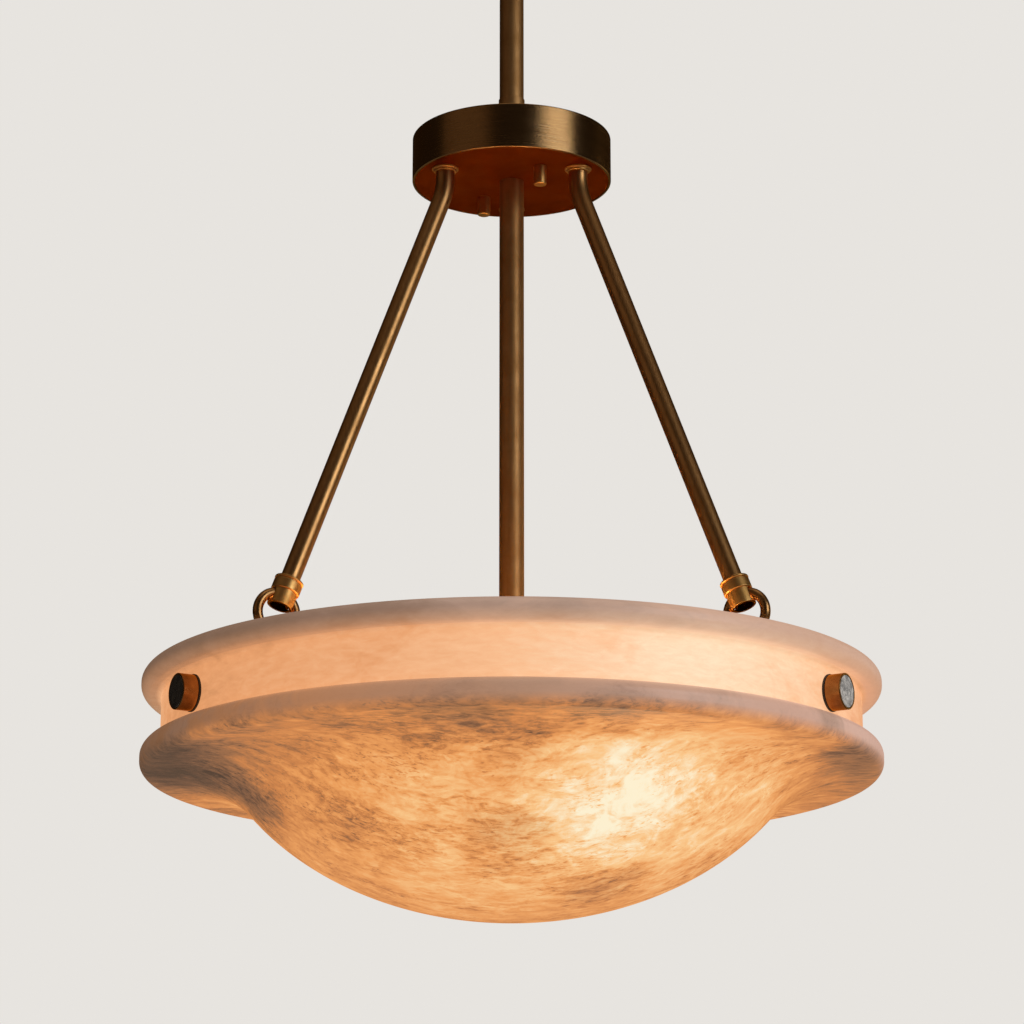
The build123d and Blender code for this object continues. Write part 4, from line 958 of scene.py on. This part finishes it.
lampSizes = {
    "centre": -763.0, "dip": 20.0, "socketStart": 30.0, "socketEnd": 78.0, "back": 15.0, "body": 19.0, "lip": 20.5,
    "lipThick": 3.0, "step": 10.0, "cavity": 13.9, "cavityFloor": 51.0, "boltHole": 3.5, "glassStart": 76.5,
    "neck": 13.5, "neckLength": 10.0, "globe": 30.0, "globeCentre": 130.5, "flare": 125.0, "glass": 1.2,
}


def lampFrame():
    # turns a piece made upright at the origin so that its +Z runs out along the lamp
    outward = Matrix.Rotation(math.radians(90 + lampSizes["dip"]), 4, "Y")
    return Matrix.Translation((0, 0, lampSizes["centre"] * mm)) @ outward


def makeSockets():
    s = lampSizes
    outline = roundedOutline([
        (s["boltHole"], s["socketStart"], 0), (s["back"], s["socketStart"], 2.0),
        (s["body"], s["socketStart"] + s["step"], 2.0), (s["body"], s["socketEnd"] - s["lipThick"], 0.4),
        (s["lip"], s["socketEnd"] - s["lipThick"], 0.8), (s["lip"], s["socketEnd"], 0.8),
        (s["cavity"], s["socketEnd"], 0.5), (s["cavity"], s["cavityFloor"], 0), (s["boltHole"], s["cavityFloor"], 0),
    ], arcSteps=5)
    piece = moved(turned("lampSockets", outline, porcelain, 72), lampFrame())
    around(piece, threeLamps, porcelain)
    place(piece, "drop", "porcelain", *threeOf("lamp_socket"))


def bulbLine(s, inset, neckSteps=16, roundSteps=32):
    # neck, soft shoulder and round end, as (across, along)
    neck, globe = s["neck"] - inset, s["globe"] - inset
    flare = math.radians(s["flare"])
    joinAcross, joinAlong = globe * math.sin(flare), s["globeCentre"] + globe * math.cos(flare)
    neckEnd = s["glassStart"] + s["neckLength"]
    span = joinAlong - neckEnd
    slope = -math.cos(flare) / math.sin(flare)
    line = [(neck, s["glassStart"])]
    for i in range(neckSteps + 1):
        t = i / neckSteps
        ease = t * t * (3 - 2 * t)
        tangent = slope * span * (t ** 3 - t ** 2)
        line.append((neck + (joinAcross - neck) * ease + tangent, neckEnd + span * t))
    for i in range(1, roundSteps + 1):
        a = flare * (1 - i / roundSteps)
        line.append((globe * math.sin(a), s["globeCentre"] + globe * math.cos(a)))
    return line


def makeBulbs():
    s = lampSizes
    outline = bulbLine(s, 0.0) + list(reversed(bulbLine(s, s["glass"])))
    piece = moved(turned("bulbGlobes", outline, frostedBulb, 72), lampFrame())
    around(piece, threeLamps, frostedBulb)
    place(piece, "drop", "bulb_glass", *threeOf("bulb_glass"))


makeSockets()
makeBulbs()
fromCad("bulbCaps", "drop", "steel_zinc", zincSteel, threeOf("bulb_cap"))
fromCad("lampPipes", "drop", "steel_zinc", zincSteel, ["lamp_nipples"])
fromCad("lampHub", "drop", "brass_turned", brass["turned"], ["lamp_cluster"], 0.3)
fromCad("lampFinial", "drop", "brass_turned", brass["turned"], ["cluster_finial"])
print("lamps made")

canopySizes = {"radius": 65.0, "height": 30.0, "wall": 1.5, "edge": 6.0, "hole": 6.9}


def makeCanopy():
    s = canopySizes
    outline = roundedOutline([
        (s["hole"], -s["height"], 0.2), (s["radius"], -s["height"], s["edge"]), (s["radius"], 0, 0.2),
        (s["radius"] - s["wall"], 0, 0.2), (s["radius"] - s["wall"], s["wall"] - s["height"], s["edge"] - s["wall"]),
        (s["hole"], s["wall"] - s["height"], 0.2),
    ], arcSteps=8)
    place(turned("ceilingCanopy", outline, brass["hubSide"], 192), "ceiling", "brass_brushed", "canopy")


makeCanopy()
fromCad("ceilingBar", "ceiling", "steel_zinc", zincSteel, ["crossbar"], 0.3)
fromCad("canopyScrews", "ceiling", "steel_zinc", zincSteel, ["canopy_screws"])
fromCad("canopyNuts", "ceiling", "brass_turned", brass["turned"], ["canopy_nuts"])
fromCad("swivelPipe", "swivel", "brass_turned", brass["turned"], ["swivel_nipple"], 0.2)
fromCad("swivelLocknut", "swivel", "steel_zinc", zincSteel, ["swivel_nut"], 0.4)
fromCad("swivelFork", "swivel", "brass_turned", brass["turned"], ["swivel_yoke"], 0.5)
fromCad("swivelPin", "swivel", "brass_turned", brass["turned"], ["swivel_pin"])
fromCad("swivelTongue", "drop", "brass_turned", brass["turned"], ["swivel_tongue"], 0.4)
for hidden in ("hub_core", "hub_strap", "hub_strap_nut", "hub_studs", "arm_locknuts"):
    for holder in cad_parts[hidden].material_slots:
        holder.material = zincSteel
print("canopy and swivel made")

roomLook = {
    "floorReach": 14.0, "floorHeight": -2.35, "floor": (0.72, 0.70, 0.67), "floorLift": 0.72,
    "pale": (0.80, 0.775, 0.74), "mirrored": (1.0, 0.72, 0.50), "soft": (1.0, 0.97, 0.93), "softStrength": 0.16,
    "glossRound": (-0.30, 0.80, 0.005, 0.028), "glossOverhead": (0.60, 0.88, 0.0, 0.13),
}


def makeFloor():
    # pale from above and clear from below; the lift is for the camera alone and lights nothing
    s = roomLook
    reach, height = s["floorReach"], s["floorHeight"]
    corners = [(x * reach, y * reach, height) for x, y in ((-1, -1), (1, -1), (1, 1), (-1, 1))]
    mesh = bpy.data.meshes.new("floor")
    mesh.from_pydata(corners, [], [(0, 1, 2, 3)])
    floor = newPiece("floor", mesh)
    material, tree, shader = newMaterial("paleFloor", s["floor"], 0.0, 0.8)
    seen = maths(tree, "MULTIPLY", addNode(tree, "ShaderNodeLightPath").outputs["Is Camera Ray"], s["floorLift"])
    lifted = mixShaders(tree, seen, shader, addNode(tree, "ShaderNodeEmission", {"Color": s["pale"]}))
    behind = addNode(tree, "ShaderNodeNewGeometry").outputs["Backfacing"]
    surface = mixShaders(tree, behind, lifted, addNode(tree, "ShaderNodeBsdfTransparent"))
    feed(tree, tree.nodes["Material Output"], {"Surface": surface.outputs[0]})
    mesh.materials.append(material)


def makeWorld():
    # the camera sees a plain pale room; gloss mirrors a dim warm one, brighter overhead
    s = roomLook
    world = bpy.data.worlds.new("room")
    bpy.context.scene.world = world
    world.use_nodes = True
    tree = world.node_tree
    tree.nodes.clear()
    split = addNode(tree, "ShaderNodeSeparateXYZ", {0: addNode(tree, "ShaderNodeTexCoord").outputs["Generated"]})
    height = split.outputs["Z"]
    gloss = maths(tree, "ADD", remap(tree, height, *s["glossRound"]), remap(tree, height, *s["glossOverhead"]))
    seen = addNode(tree, "ShaderNodeBackground", {"Color": s["pale"], "Strength": 1.0})
    mirrored = addNode(tree, "ShaderNodeBackground", {"Color": s["mirrored"], "Strength": gloss})
    soft = addNode(tree, "ShaderNodeBackground", {"Color": s["soft"], "Strength": s["softStrength"]})
    rays = addNode(tree, "ShaderNodeLightPath").outputs
    unseen = mixShaders(tree, rays["Is Glossy Ray"], soft, mirrored)
    straight = maths(tree, "MAXIMUM", rays["Is Camera Ray"], rays["Is Transmission Ray"])
    addNode(tree, "ShaderNodeOutputWorld", {"Surface": mixShaders(tree, straight, unseen, seen).outputs[0]})


lights = {  # place, aim, width, height, power, colour
    "keyRight": ((2.02, -1.55, 0.17), (0, 0, -0.42), 1.5, 1.25, 17.0, (0.88, 0.94, 1.0)),
    "fillLeft": ((-2.20, -1.55, 0.40), (0, 0, -0.45), 2.8, 1.5, 1.9, (1.0, 0.70, 0.46)),
    "wallRight": ((2.05, 1.45, -0.22), (0, 0, -0.60), 1.3, 1.2, 2.8, (1.0, 0.93, 0.86)),
    "topSoft": ((0.2, -0.6, 1.9), (0, 0, -0.45), 1.8, 1.4, 5.0, (1.0, 0.97, 0.93)),
}


def makeLights():
    for name, (where, aim, width, height, power, color) in lights.items():
        data = bpy.data.lights.new(name, "AREA")
        data.shape = "RECTANGLE"
        data.size, data.size_y = width, height
        data.energy = power
        data.color = color
        lamp = newPiece(name, data)
        lamp.location = where
        lamp.rotation_euler = (Vector(aim) - Vector(where)).to_track_quat("-Z", "Y").to_euler()


cameraSizes = {"focal": 3300.0, "frame": 1024.0, "sensor": 36.0, "tilt": 15.2, "place": (0.3, -2677.5, -1298.2)}


def makeCamera():
    s = cameraSizes
    data = bpy.data.cameras.new("photoCamera")
    data.sensor_width = s["sensor"]
    data.lens = s["focal"] / s["frame"] * s["sensor"]
    camera = newPiece("photoCamera", data)
    camera.location = [v * mm for v in s["place"]]
    camera.rotation_euler = (math.radians(90 + s["tilt"]), 0, 0)
    bpy.context.scene.camera = camera


makeFloor()
makeWorld()
makeLights()
makeCamera()
bpy.context.scene.view_settings.view_transform = "Standard"
print("room, lights and camera made")
